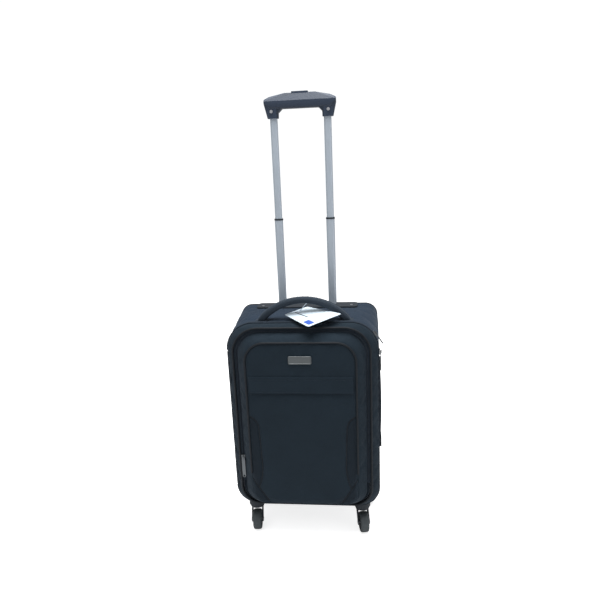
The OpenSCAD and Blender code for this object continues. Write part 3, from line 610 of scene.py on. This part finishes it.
def zip_teeth(name, points, outward, body, pitch=1.5 * MM, half=(0.45 * MM, 1.25 * MM, 1.55 * MM)):
    """Nylon coil along a line: one small oval loop for each tooth. outward gives each place's normal."""
    parts = []
    for place, direction in walk(points, pitch):
        normal = Vector(outward(place)).normalized()
        side = direction.cross(normal)
        verts = []
        for k in range(8):
            angle = math.pi * k / 4
            ring = place + side * math.cos(angle) * half[1] + normal * math.sin(angle) * half[2]
            verts += [ring - direction * half[0], ring + direction * half[0]]
        faces = [(2 * k, 2 * k + 1, (2 * k + 3) % 16, (2 * k + 2) % 16) for k in range(8)]
        faces += [tuple(range(0, 16, 2))[::-1], tuple(range(1, 16, 2))]
        parts.append((verts, faces))
    piece = join_parts(name, parts)
    settle(piece, NYLON, "zip", body)
    return piece


def outline_normal(outline):
    """The outward direction of an outline at a place on it."""
    def normal(place):
        r = outline.r_low if place.z < (outline.low + outline.high) / 2 else outline.r_high
        x = max(min(place.x, outline.half_w - r), r - outline.half_w)
        z = max(min(place.z, outline.high - r), outline.low + r)
        return place.x - x, 0, place.z - z
    return normal


def open_loop(outline, y, left=True, above=None):
    """An outline's points at depth y, without its straight left side or only those above a height."""
    loop = outline.loop()
    loop = loop[Outline.corner:] + loop[:Outline.corner]      # now starts up the right side
    if above is not None:
        return [(x, y, z) for x, z in loop if z > above]
    if left:
        loop.append(loop[0])
    else:
        start = Outline.up + 2 * Outline.corner + Outline.across
        loop = loop[start + Outline.up:] + loop[:start]
    return [(x, y, z) for x, z in loop]


# ---------- soft pieces of the case ----------

LOOP = len(CASE.loop())
HANDLE_X = (handle_box[0].x + handle_box[1].x) / 2
HANDLE_Y = (handle_box[0].y + handle_box[1].y) / 2
ANCHOR_HALF = (15 * MM, 13 * MM)
ANCHOR_X = (handle_box[1].x - handle_box[0].x) / 2 - 8 * MM


def body_sides():
    """The padded top, bottom and sides, sewn to the wire hoops at the front and the back."""
    piece = band("body_sides", CASE_REAR.inset(0.4 * MM), SHELL_BACK, CASE.inset(0.4 * MM), SHELL_FRONT,
                 28, crown=0.3 * MM)
    pinned = open_edges(piece)
    pinned[-2 * LOOP:] = True        # two rows at the front, where the zip is sewn on
    pinned |= near_nodes(piece, ["side_feet", "side_handle_mounts", "caster_housings"], 13 * MM)
    pinned |= inside_box(piece, bezel_box[0] - Vector((6, 6, 12)) * MM, bezel_box[1] + Vector((6, 6, 0)) * MM)
    for side in (-1, 1):
        centre = Vector((HANDLE_X + side * ANCHOR_X, HANDLE_Y, CASE.high))
        reach = Vector((ANCHOR_HALF[0], ANCHOR_HALF[1], 8 * MM))
        pinned |= inside_box(piece, centre - reach, centre + reach)
    sew_down(piece, pinned, pressure=3.5, slack=0.018, cap=1.9 * MM)
    return piece


def open_under_bezel(piece):
    """Cuts out the cloth that the bezel hides, where the handle's legs pass."""
    edge = Vector((1, 1, 0)) * MM
    hidden = inside_box(piece, bezel_box[0] + edge - Vector((0, 0, 12 * MM)), bezel_box[1] - edge)
    mesh = bmesh.new()
    mesh.from_mesh(piece.data)
    cut = [face for face in mesh.faces if all(hidden[v.index] for v in face.verts)]
    bmesh.ops.delete(mesh, geom=cut, context="FACES")
    mesh.to_mesh(piece.data)
    mesh.free()


def back_panel():
    """Cloth over the back board, lightly padded."""
    outline = CASE_REAR.inset(3.5 * MM)

    def depth(x, z):
        return SHELL_BACK + 1 * MM + 2.6 * MM * min(outline.edge_distance(x, z) / (9 * MM), 1) ** 0.6
    piece = field("back_panel", outline, depth, pitch=8 * MM, faces_back=True)
    sew_down(piece, open_edges(piece), pressure=0.6, slack=0.012, cap=1.6 * MM)
    return piece


def lid_border():
    """The padded slope between the main zip and the lid's front piping."""
    piece = band("lid_border", CASE.inset(0.3 * MM), LID_BACK, FRONT.inset(0.8 * MM), LID_FRONT,
                 7, crown=0.8 * MM)
    sew_down(piece, open_edges(piece), pressure=5.0, slack=0.025, cap=1.6 * MM)
    return piece


def pocket_sides():
    """The padded slope from the pocket's zip up to the piping round its face."""
    piece = band("pocket_sides", RIM.inset(-2 * MM), POCKET_BACK, PANEL, FACE_EDGE_Y, 7, crown=0.4 * MM)
    sew_down(piece, open_edges(piece), pressure=4.0, slack=0.02, cap=1.4 * MM)
    return piece


def pocket_face():
    """The padded face inside the piping. It stays flat under the flap and the plate."""
    def depth(x, z):
        lift = min(PANEL.edge_distance(x, z) / (8 * MM), 1)
        return FACE_EDGE_Y - 2.7 * MM * math.sin(lift * math.pi / 2)
    piece = field("pocket_face", PANEL, depth, pitch=5 * MM)
    co = np.array([v.co for v in piece.data.vertices])
    pinned = open_edges(piece)
    pinned |= (abs(co[:, 0]) < FLAP_HW) & (co[:, 2] > FLAP_LOW - 4 * MM) & (co[:, 2] < FLAP_TOP + 2 * MM)
    plate_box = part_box("name_plate")
    pinned |= (abs(co[:, 0]) < plate_box[1].x) & (abs(co[:, 2] - plate_box[0].z) < 20 * MM)
    sew_down(piece, pinned, pressure=1.6, slack=0.012, cap=1.5 * MM)
    return piece


def press_seams(piece):
    """Presses the face in along the seams of its inserts and patches."""
    co = np.array([v.co for v in piece.data.vertices])
    insert_seam = [(insert_edge(z), z) for z in np.linspace(INSERT_LOW, INSERT_TOP - 1 * MM, 60)]
    patch_seam = [(patch_edge(z), z) for z in np.linspace(PANEL.low + 3 * MM, PATCH_TOP + 6 * MM, 30)]
    across = np.abs(co[:, 0])
    nearest = np.full(len(co), 1.0)
    for x, z in insert_seam + patch_seam:
        nearest = np.minimum(nearest, np.hypot(across - x, co[:, 2] - z))
    co[:, 1] += 2.2 * MM * np.exp(-(nearest / (2.4 * MM)) ** 2)
    piece.data.vertices.foreach_set("co", co.ravel())
    piece.data.update()


def overlay(name, rows, ground, side):
    """A sewn-on patch that follows the face. rows lists (z, inner x, outer x)."""
    tree = BVHTree.FromObject(ground, bpy.context.evaluated_depsgraph_get())
    cols = 9
    points = []
    for r, (z, inner, outer) in enumerate(rows):
        row = []
        for c in range(cols):
            x = side * (inner + (outer - inner) * c / (cols - 1))
            hit = tree.ray_cast(Vector((x, FACE_Y - 20 * MM, z)), Vector((0, 1, 0)))[0]
            edge = min(c, cols - 1 - c, r, len(rows) - 1 - r)
            raised = 0.2 * MM + 1.1 * MM * min(edge, 2) / 2
            row.append((x, (hit.y if hit else FACE_Y) - raised, z))
        points.append(row if side > 0 else row[::-1])
    piece = sheet(name, points)
    thicken(piece, 0.8 * MM)
    return piece


def face_overlays(ground):
    """The inserts and the lower corner patches of both sides."""
    insert_rows = []
    for z in np.linspace(INSERT_LOW + 5 * MM, INSERT_TOP - 3 * MM, 40):
        inner = insert_edge(z) + 1.6 * MM
        outer = min(OVERLAY_HW, patch_edge(z) - 2 * MM)
        insert_rows.append((z, inner, max(outer, inner + 1 * MM)))
    patch_rows = []
    for z in np.linspace(PANEL.low + 6 * MM, PATCH_TOP - 6 * MM, 16):
        outer = min(PANEL.inset(6 * MM).half_width_at(z), OVERLAY_HW)
        inner = min(patch_edge(z) + 1.8 * MM, outer - 1 * MM)
        patch_rows.append((z, inner, outer))
    pieces = []
    for side, label in ((-1, "left"), (1, "right")):
        pieces.append(overlay("insert_" + label, insert_rows, ground, side))
        pieces.append(overlay("corner_patch_" + label, patch_rows, ground, side))
    return pieces


def seam_shade_cords(ground):
    """Thin dark cord in the seams of the inserts and the corner patches: painted shade, a dark line that stands
    for the shadow in each seam.
    """
    tree = BVHTree.FromObject(ground, bpy.context.evaluated_depsgraph_get())
    insert_seam = [(insert_edge(z), z) for z in np.linspace(INSERT_LOW, INSERT_TOP - 2 * MM, 80)]
    patch_seam = [(patch_edge(z), z) for z in np.linspace(PANEL.low + 5 * MM, PATCH_TOP, 30)]
    for side, label in ((-1, "left"), (1, "right")):
        for kind, line in (("insert", insert_seam), ("patch", patch_seam)):
            points = []
            for x, z in line:
                hit = tree.ray_cast(Vector((side * x, FACE_Y - 20 * MM, z)), Vector((0, 1, 0)))[0]
                if hit is not None:
                    points.append(hit + Vector((0, -0.3 * MM, 0)))
            ahead = [(b - a).normalized() for a, b in zip(points, points[1:])]
            ahead.append(ahead[-1])
            normals = [Vector((0, -1, 0))] * len(points)
            sideways = [n.cross(a).normalized() for n, a in zip(normals, ahead)]
            radii = [1.1 * MM] * len(points)
            cord = tube(kind + "_shade_cord_" + label, points, sideways, normals, radii, radii, 2.0, 8)
            settle(cord, CORD, "piping", "front_pocket")


def flap():
    """Cloth strip sewn along its top, over the small zip. Its lower edge curls out a little."""
    rows = []
    for t in np.linspace(0, 1, 28):
        z = FLAP_LOW + (FLAP_TOP - FLAP_LOW) * t
        fold = 0.9 * MM * math.exp(-((t - 0.93) / 0.035) ** 2)
        row = []
        for u in np.linspace(-1, 1, 70):
            x = u * FLAP_HW
            curl = 0.5 * MM * (1 - t) ** 2 * (1 + noise.noise(Vector((x * 30, 0, 4))))
            row.append((x, FACE_Y - 3.1 * MM + 2.3 * MM * t ** 5 - curl - fold, z))
        rows.append(row)
    piece = sheet("flap", rows)
    thicken(piece, 0.9 * MM)
    return piece


def crumpled(piece, height, scale):
    """Soft creases for thin cloth that hangs loose between its sewn edges."""
    sewn = open_edges(piece)
    for v in piece.data.vertices:
        if not sewn[v.index]:
            wave = noise.noise(v.co * scale) + 0.4 * noise.noise(v.co * scale * 2.7)
            v.co += v.normal * height * wave


LINING_PITCH = 8 * MM
SEAM_ALLOWANCE = 2 * MM        # cloth that goes on past a seam of the lining


def lining_tray(name, bottom, y_bottom, rim, y_rim, faces_back, steps):
    """A tray of thin cloth that opens at its rim: its sides and its bottom, sewn together."""
    past = -SEAM_ALLOWANCE if faces_back else SEAM_ALLOWANCE
    ends = [(bottom, y_bottom + past / 2), (rim, y_rim)]
    if not faces_back:
        ends.reverse()
    (first, y_first), (last, y_last) = ends
    sides = band(name + "_sides", first, y_first, last, y_last, steps)
    panel = field(name + "_panel", bottom.inset(-SEAM_ALLOWANCE), lambda x, z: y_bottom,
                  LINING_PITCH, faces_back)
    for piece in (sides, panel):
        crumpled(piece, 1.1 * MM, 26)
        thicken(piece, 0.6 * MM)
    return sides, panel


def linings():
    """Linings of the case, the lid and the front pocket."""
    case_outline = Outline(lining_box[1].x, lining_box[0].z, lining_box[1].z, 39 * MM, 55 * MM)
    front, back = lining_box[0].y, lining_box[1].y
    for piece in lining_tray("lining", case_outline, back - 0.5 * MM, case_outline, front, False, 26):
        settle(piece, LINING, "lining", "case", "shell_lining")
    for piece in lining_tray("lid_lining", FRONT.inset(5.5 * MM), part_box("lid_lining")[1].y,
                             CASE.inset(3.6 * MM), LID_BACK - 1 * MM, True, 6):
        settle(piece, LINING, "lining", "lid", "lid_lining")
    for piece in lining_tray("pocket_lining", PANEL.inset(2.5 * MM), FACE_EDGE_Y + 2.4 * MM,
                             RIM.inset(1 * MM), POCKET_BACK - 1 * MM, True, 5):
        settle(piece, LINING, "lining", "front_pocket")


def bindings():
    """Folded cloth over the open edges of the case, the lid and the front pocket."""
    edges = [("case", CASE, SHELL_FRONT, (9.5, 1), (0.5, 0.6)),      # inset and depth of each side, mm
             ("lid", CASE, LID_BACK, (0.5, -0.2), (4, -1)),
             ("front_pocket", RIM, POCKET_BACK, (-1.2, -0.2), (2, -1))]
    for body, outline, y, first, last in edges:
        edge = band(body + "_binding", outline.inset(first[0] * MM), y + first[1] * MM,
                    outline.inset(last[0] * MM), y + last[1] * MM, 4)
        thicken(edge, 0.7 * MM)
        settle(edge, TAPE, "fabric_trim", body)


def hinge_cloth():
    """Cloth down the left edge, bent from the case across to the lid."""
    strip_low, strip_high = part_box("lid_hinge_strip")
    x = strip_low.x
    lid_x, lid_y = -CASE.half_w + 5.5 * MM, LID_BACK - 8 * MM
    path = [Vector((x + 0.2 * MM, SHELL_FRONT + d * MM, 0)) for d in (11, 8, 5, 2, 0, -2, -4, -6, -8)]
    path += [Vector((x + (lid_x - x) * t, LID_BACK + (lid_y - LID_BACK) * t, 0)) for t in (0.25, 0.6, 1)]
    rows = []
    for point in path:
        rows.append([(point.x, point.y, z) for z in np.linspace(strip_high.z, strip_low.z, 60)])
    piece = sheet("hinge_cloth", rows)
    crumpled(piece, 0.3 * MM, 60)
    thicken(piece, 0.7 * MM)
    dress(piece, CLOTH_TRIM)
    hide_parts("lid_hinge_strip")
    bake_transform(piece)


# ---------- handles, plate and tag ----------

def top_handle():
    """Padded arch whose webbing ends are sewn to the top. It bends just above the seam."""
    foot_z = CASE.high + 1.2 * MM
    half_a = (handle_box[1].x - handle_box[0].x) / 2
    rise = handle_box[1].z - foot_z
    reach_a, reach_b = half_a + 1 * MM, rise - 1.5 * MM
    half_w = (handle_box[1].y - handle_box[0].y) / 2
    centres, sideways, normals, widths, depths = [], [], [], [], []
    for t in np.linspace(0, math.pi, 73):
        c, s = math.cos(t), max(math.sin(t), 0)
        normal = Vector((1.5 * reach_b * c, 0, reach_a * math.sqrt(s))).normalized()
        thick = 6.6 * MM + 2.2 * MM * abs(c)
        end = min(s / 0.34, 1)
        thick *= 0.5 + 0.5 * end
        surface_point = Vector((HANDLE_X + reach_a * c, HANDLE_Y, foot_z + reach_b * s ** 1.5))
        ripple = 0.18 * MM * math.sin(t * 60)
        centres.append(surface_point - normal * thick)
        sideways.append(Vector((0, 1, 0)))
        normals.append(normal)
        widths.append(half_w * (0.86 + 0.14 * end) + ripple)
        depths.append(thick + ripple)
    piece = tube("carry_handle", centres, sideways, normals, widths, depths, squareness=3.4)
    smoothen(piece)
    rows = []
    for offset in (-0.72, 0.72):
        rows.append([c + n * d + Vector((0, offset * w, 0))
                     for c, n, d, w in zip(centres[6:-6], normals[6:-6], depths[6:-6], widths[6:-6])])
    parts = []
    for row in rows:
        for place, direction in walk(row, 3.6 * MM):
            normal = Vector((direction.z, 0, -direction.x))
            parts.append(capsule(place - normal * 0.6 * MM, direction, normal, 1.3 * MM, 0.34 * MM))
    seam = join_parts("carry_handle_stitches", parts)
    for made, material in ((piece, WEBBING), (seam, THREAD)):
        dress(made, material)
        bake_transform(made)
    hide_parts("top_handle")


def handle_anchors(ground):
    """The webbing ends under the arch, sewn down with a box and a cross."""
    for side, label in ((-1, "left"), (1, "right")):
        x = HANDLE_X + side * ANCHOR_X
        rows = []
        for v in np.linspace(-1, 1, 9):
            row = []
            for u in np.linspace(-1, 1, 11):
                edge = 1 - max(abs(u), abs(v))
                z = CASE.high + 0.5 * MM + 1.2 * MM * min(edge * 3, 1)
                row.append((x + u * ANCHOR_HALF[0], HANDLE_Y + v * ANCHOR_HALF[1], z))
            rows.append(row)
        piece = sheet("handle_anchor_" + label, rows)
        thicken(piece, 1.2 * MM)
        settle(piece, WEBBING, "handle_fabric", "case")
        w, d = ANCHOR_HALF[0] * 0.8, ANCHOR_HALF[1] * 0.8
        corners = ((-1, -1), (1, -1), (1, 1), (-1, 1), (-1, -1))
        box = [(x + a * w, HANDLE_Y + b * d, CASE.high) for a, b in corners]
        cross = [[box[0], box[2]], [box[1], box[3]]]
        stitch_lines("anchor_stitches_" + label, [box] + cross, piece, (0, 0, -1), "case", 2.8 * MM)


def side_handle():
    """Padded strap on the right side, held at both ends."""
    low, high = strap_box
    half = (high.z - low.z) / 2
    middle = (low + high) / 2
    bow = high.x - low.x - 3 * MM
    centres, widths, depths = [], [], []
    for t in np.linspace(-1, 1, 49):
        end = min((1 - abs(t)) / 0.16, 1)
        x = low.x + 1.5 * MM + bow * (1 - t * t)
        centres.append(Vector((x, middle.y, middle.z + t * half)))
        widths.append((high.y - low.y) / 2 - 0.3 * MM)
        depths.append(1.3 * MM + 1.1 * MM * end)
    count = len(centres)
    piece = tube("side_handle", centres, [Vector((0, 1, 0))] * count, [Vector((1, 0, 0))] * count,
                 widths, depths, squareness=3.6)
    smoothen(piece)
    settle(piece, WEBBING, "handle_fabric", "case", "side_handle_strap")
    lines = []
    for offset in (-0.7, 0.7):
        y = middle.y + offset * (high.y - low.y) / 2
        lines.append([(high.x, y, low.z + 20 * MM), (high.x, y, high.z - 20 * MM)])
    stitch_lines("side_handle_stitches", lines, piece, (-1, 0, 0), "case")


PLATE_CORNER = 3.2        # mm


def name_plate():
    """Blank plate with a raised border."""
    low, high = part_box("name_plate")
    steps = [(0.0, 0.0), (0.0, 1.4), (0.5, 1.9), (2.0, 1.9), (2.4, 1.4)]      # inset, height in mm
    rows = []
    for inset, height in steps:
        corner = (PLATE_CORNER - inset) * MM
        outline = Outline(high.x - inset * MM, low.z + inset * MM, high.z - inset * MM, corner, corner)
        rows.append([(x, high.y - height * MM, z) for x, z in outline.loop()])
    verts = [p for row in rows for p in row]
    faces = grid_faces(len(rows), LOOP, True)
    faces.append(tuple(range(len(verts) - LOOP, len(verts))))
    faces.append(tuple(range(LOOP))[::-1])
    piece = add_mesh("plate", verts, faces)
    piece.modifiers.new("edges", "EDGE_SPLIT").split_angle = math.radians(35)
    apply_modifiers(piece)
    settle(piece, PLATE, "plate", "front_pocket", "name_plate")


def hang_tag():
    """A card that leans through the handle, with a plain blue mark and a cord."""
    verts = [v.co.copy() for v in frame["nodes"]["hang_tag"].data.vertices]
    front = min(verts, key=lambda v: v.y)
    right = max(verts, key=lambda v: v.x)
    back = max(verts, key=lambda v: v.y)
    left = min(verts, key=lambda v: v.x)

    def on_card(u, v, lift=0.0):
        place = front.lerp(right, u).lerp(left.lerp(back, u), v)
        bend = 1.6 * MM * math.sin(math.pi * u) * math.sin(math.pi * v)
        return place + Vector((0, 0, bend + lift))

    def patch(name, u_range, v_range, steps, thickness, material, lift):
        us, vs = np.linspace(*u_range, steps), np.linspace(*v_range, steps)
        piece = sheet(name, [[on_card(u, v, lift) for u in us] for v in vs])
        thicken(piece, thickness)
        settle(piece, material, "paper", "tag")
        return piece

    piece = patch("tag_card", (0.01, 0.99), (0.01, 0.99), 12, 0.5 * MM, PAPER, 0.4 * MM)
    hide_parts("hang_tag")
    patch("tag_mark", (0.08, 0.26), (0.08, 0.30), 5, 0.1 * MM, INK, 0.55 * MM)
    patch("tag_rule", (0.33, 0.37), (0.42, 0.88), 5, 0.1 * MM, THREAD, 0.52 * MM)
    knot = on_card(0.5, 0.86)
    top = Vector((HANDLE_X + 18 * MM, HANDLE_Y, handle_box[1].z - 4 * MM))
    points = []
    for k in range(49):
        angle = 2 * math.pi * k / 48
        t = (1 - math.cos(angle)) / 2
        centre = knot.lerp(top, t)
        points.append(centre + Vector((2.2 * MM, 15.5 * MM, 0)) * math.sin(angle) * (0.35 + 0.65 * t))
    tangents = [(points[(k + 1) % 48] - points[k - 1 if k else 47]).normalized() for k in range(49)]
    sideways = [t.cross(Vector((1, 0, 0.1))).normalized() for t in tangents]
    normals = [s.cross(t).normalized() for s, t in zip(sideways, tangents)]
    cord = tube("tag_cord", points, sideways, normals, [0.6 * MM] * 49, [0.6 * MM] * 49, 2.0, 8)
    dress(cord, PAPER)
    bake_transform(cord)


# ---------- casters ----------

def wheel_treads():
    """A soft tyre band with shallow grooves round each wheel."""
    for corner in ("front_left", "front_right", "rear_left", "rear_right"):
        node = frame["nodes"]["wheel_" + corner]
        verts = np.array([v.co for v in node.data.vertices])
        centre = (verts.min(0) + verts.max(0)) / 2
        radius = (verts[:, 2].max() - verts[:, 2].min()) / 2
        joint = [j for j in frame["joints"] if j["name"] == "roll_" + corner][0]
        axle = Vector(joint["axis"]).normalized()
        out = axle.cross(Vector((0, 0, 1))).normalized()
        profile = []
        for s in np.linspace(-1, 1, 25):
            groove = 0.5 * MM * (math.exp(-((abs(s) - 0.45) / 0.08) ** 2))
            profile.append((s * 5.2 * MM, radius + 0.12 * MM - groove - 0.25 * MM * s ** 4))
        rows = []
        for along, r in profile:
            row = []
            for k in range(96):
                angle = 2 * math.pi * k / 96
                spoke = out * math.cos(angle) + Vector((0, 0, 1)) * math.sin(angle)
                row.append(Vector(centre) + axle * along + spoke * r)
            rows.append(row)
        piece = sheet("tread_" + corner, rows, closed=True)
        settle(piece, WHEEL, "wheel", "wheel_" + corner)


# ---------- build ----------

dress_cad_nodes()

sides, back = body_sides(), back_panel()
border, slope, face = lid_border(), pocket_sides(), pocket_face()
run_cloth()
open_under_bezel(sides)

for soft, thickness in ((sides, 2.0), (back, 1.2), (border, 1.6), (slope, 1.4), (face, 1.4)):
    thicken(soft, thickness * MM)
press_seams(face)

# The top, bottom and sides wear the painted-light copy of the fabric.
settle(sides, CLOTH_PAINTED_LIGHT, "fabric", "case", "side_wrap")
settle(back, CLOTH, "fabric", "case", "back_cover")
settle(border, CLOTH, "fabric", "lid", "lid_gusset")
settle(slope, CLOTH, "fabric", "front_pocket", "pocket_panel")
settle(face, CLOTH, "fabric", "front_pocket", "pocket_panel")
for piece in face_overlays(face):
    settle(piece, CLOTH_TRIM, "fabric_trim", "front_pocket", "panel_overlays")
# Dark cords along the seams are painted shade.
seam_shade_cords(face)
pocket_flap = flap()
settle(pocket_flap, CLOTH, "fabric", "flap", "pocket_flap")

linings()
bindings()
hinge_cloth()
top_handle()
handle_anchors(sides)
side_handle()
name_plate()
hang_tag()
wheel_treads()

# Stitches
FACE_LINES = [open_loop(PANEL.inset(5 * MM), FACE_Y)]
for side in (-1, 1):
    heights = np.linspace(INSERT_LOW + 4 * MM, INSERT_TOP - 5 * MM, 40)
    FACE_LINES.append([(side * (insert_edge(z) - 3.2 * MM), FACE_Y, z) for z in heights])
    heights = np.linspace(PANEL.low + 8 * MM, PATCH_TOP - 12 * MM, 12)
    FACE_LINES.append([(side * (patch_edge(z) - 3.4 * MM), FACE_Y, z) for z in heights])
FACE_LINES.append([(-FLAP_HW, FACE_Y, FLAP_LOW - 3 * MM), (FLAP_HW, FACE_Y, FLAP_LOW - 3 * MM)])
stitch_lines("face_stitches", FACE_LINES, face, (0, 1, 0), "front_pocket")
stitch_lines("flap_stitches", [[(-FLAP_HW + 2 * MM, FACE_Y, z), (FLAP_HW - 2 * MM, FACE_Y, z)]
                               for z in (FLAP_TOP - 7 * MM, FLAP_LOW + 3 * MM)],
             pocket_flap, (0, 1, 0), "flap")
stitch_lines("back_stitches", [open_loop(CASE_REAR.inset(12 * MM), SHELL_BACK)], back, (0, -1, 0), "case")

# Zip teeth
COIL_OUT = 0.15 * MM
COIL_APART = 1.8 * MM
zip_line = CASE.inset(-COIL_OUT)
zip_teeth("case_zip_teeth", open_loop(zip_line, ZIP_Y + COIL_APART, left=False), outline_normal(CASE), "case")
zip_teeth("lid_zip_teeth", open_loop(zip_line, ZIP_Y - COIL_APART, left=False), outline_normal(CASE), "lid")
POCKET_ZIP_END = 152 * MM        # height at which the pocket's zip ends on both sides
pocket_line = FRONT.inset(7.5 * MM)
zip_teeth("pocket_zip_teeth", open_loop(pocket_line, LID_FRONT - 1.5 * MM, above=POCKET_ZIP_END),
          lambda place: (0, -1, 0), "lid", half=(0.45 * MM, 1.5 * MM, 1.25 * MM))


# ---------- stage, light and camera ----------

def studio():
    """Pale floor, an even pale surround and three large soft lights."""
    bpy.ops.mesh.primitive_plane_add(size=30)
    floor = bpy.context.object
    floor.name = "floor"
    s = Shader("floor_paint")
    s.put(s.surface.inputs["Base Color"], s.shade((0.93, 0.93, 0.93), s.spread(s.noise(3), 0.99, 1.01)))
    seen = s.add("ShaderNodeLightPath").outputs["Is Camera Ray"]
    glow = s.math("MULTIPLY", seen, 0.75)        # evens out the floor for the camera only
    dress(floor, s.set(Roughness=0.7, Emission_Color=(1, 1, 1, 1), Emission_Strength=glow))

    world = bpy.data.worlds.new("surround")
    bpy.context.scene.world = world
    world.use_nodes = True
    background = world.node_tree.nodes["Background"]
    background.inputs["Color"].default_value = (0.98, 0.99, 1.0, 1)
    path = world.node_tree.nodes.new("ShaderNodeLightPath")
    strength = world.node_tree.nodes.new("ShaderNodeMapRange")    # even white behind, dimmer as a light
    strength.inputs["To Min"].default_value = 0.33
    strength.inputs["To Max"].default_value = 1.05
    world.node_tree.links.new(path.outputs["Is Camera Ray"], strength.inputs["Value"])
    world.node_tree.links.new(strength.outputs[0], background.inputs["Strength"])

    middle = (CAD_BOX[0] + CAD_BOX[1]) / 2
    lights = [("key", (-1.0, -1.8, 2.4), 1.6, 12), ("top", (0.1, -0.2, 2.7), 1.8, 92),
              ("fill", (1.9, -1.2, 1.2), 1.6, 5)]
    for name, place, size, power in lights:
        lamp = bpy.data.lights.new(name, "AREA")
        lamp.size, lamp.energy = size, power
        light = bpy.data.objects.new(name, lamp)
        light.location = place
        light.rotation_euler = (middle - Vector(place)).to_track_quat("-Z", "Y").to_euler()
        bpy.context.scene.collection.objects.link(light)
    bpy.context.scene.view_settings.view_transform = "Standard"


CAMERA_PLACE = (0.1551, -1.3287, 0.9012)
CAMERA_YAW, CAMERA_PITCH, CAMERA_ROLL = 6.57, 15.13, 2.33        # degrees
CAMERA_LENS = 34.92        # mm, on a sensor 36 mm wide
CAMERA_SHIFT = (-0.0078, 0.0258)


def main_camera():
    """A camera a little above and to the right of the front, tilted slightly."""
    yaw, pitch, roll = (math.radians(a) for a in (CAMERA_YAW, CAMERA_PITCH, CAMERA_ROLL))
    forward = Vector((-math.sin(yaw) * math.cos(pitch), math.cos(yaw) * math.cos(pitch), -math.sin(pitch)))
    level = Vector((math.cos(yaw), math.sin(yaw), 0))
    down = forward.cross(level)
    right = level * math.cos(roll) + down * math.sin(roll)
    up = -(down * math.cos(roll) - level * math.sin(roll))
    lens = bpy.data.cameras.new("camera")
    lens.sensor_width = 36.0
    lens.lens = CAMERA_LENS
    lens.shift_x, lens.shift_y = CAMERA_SHIFT
    camera = bpy.data.objects.new("camera", lens)
    turned = Matrix((right, up, -forward)).transposed()
    camera.matrix_world = Matrix.Translation(CAMERA_PLACE) @ turned.to_4x4()
    bpy.context.scene.collection.objects.link(camera)
    bpy.context.scene.camera = camera


studio()
main_camera()
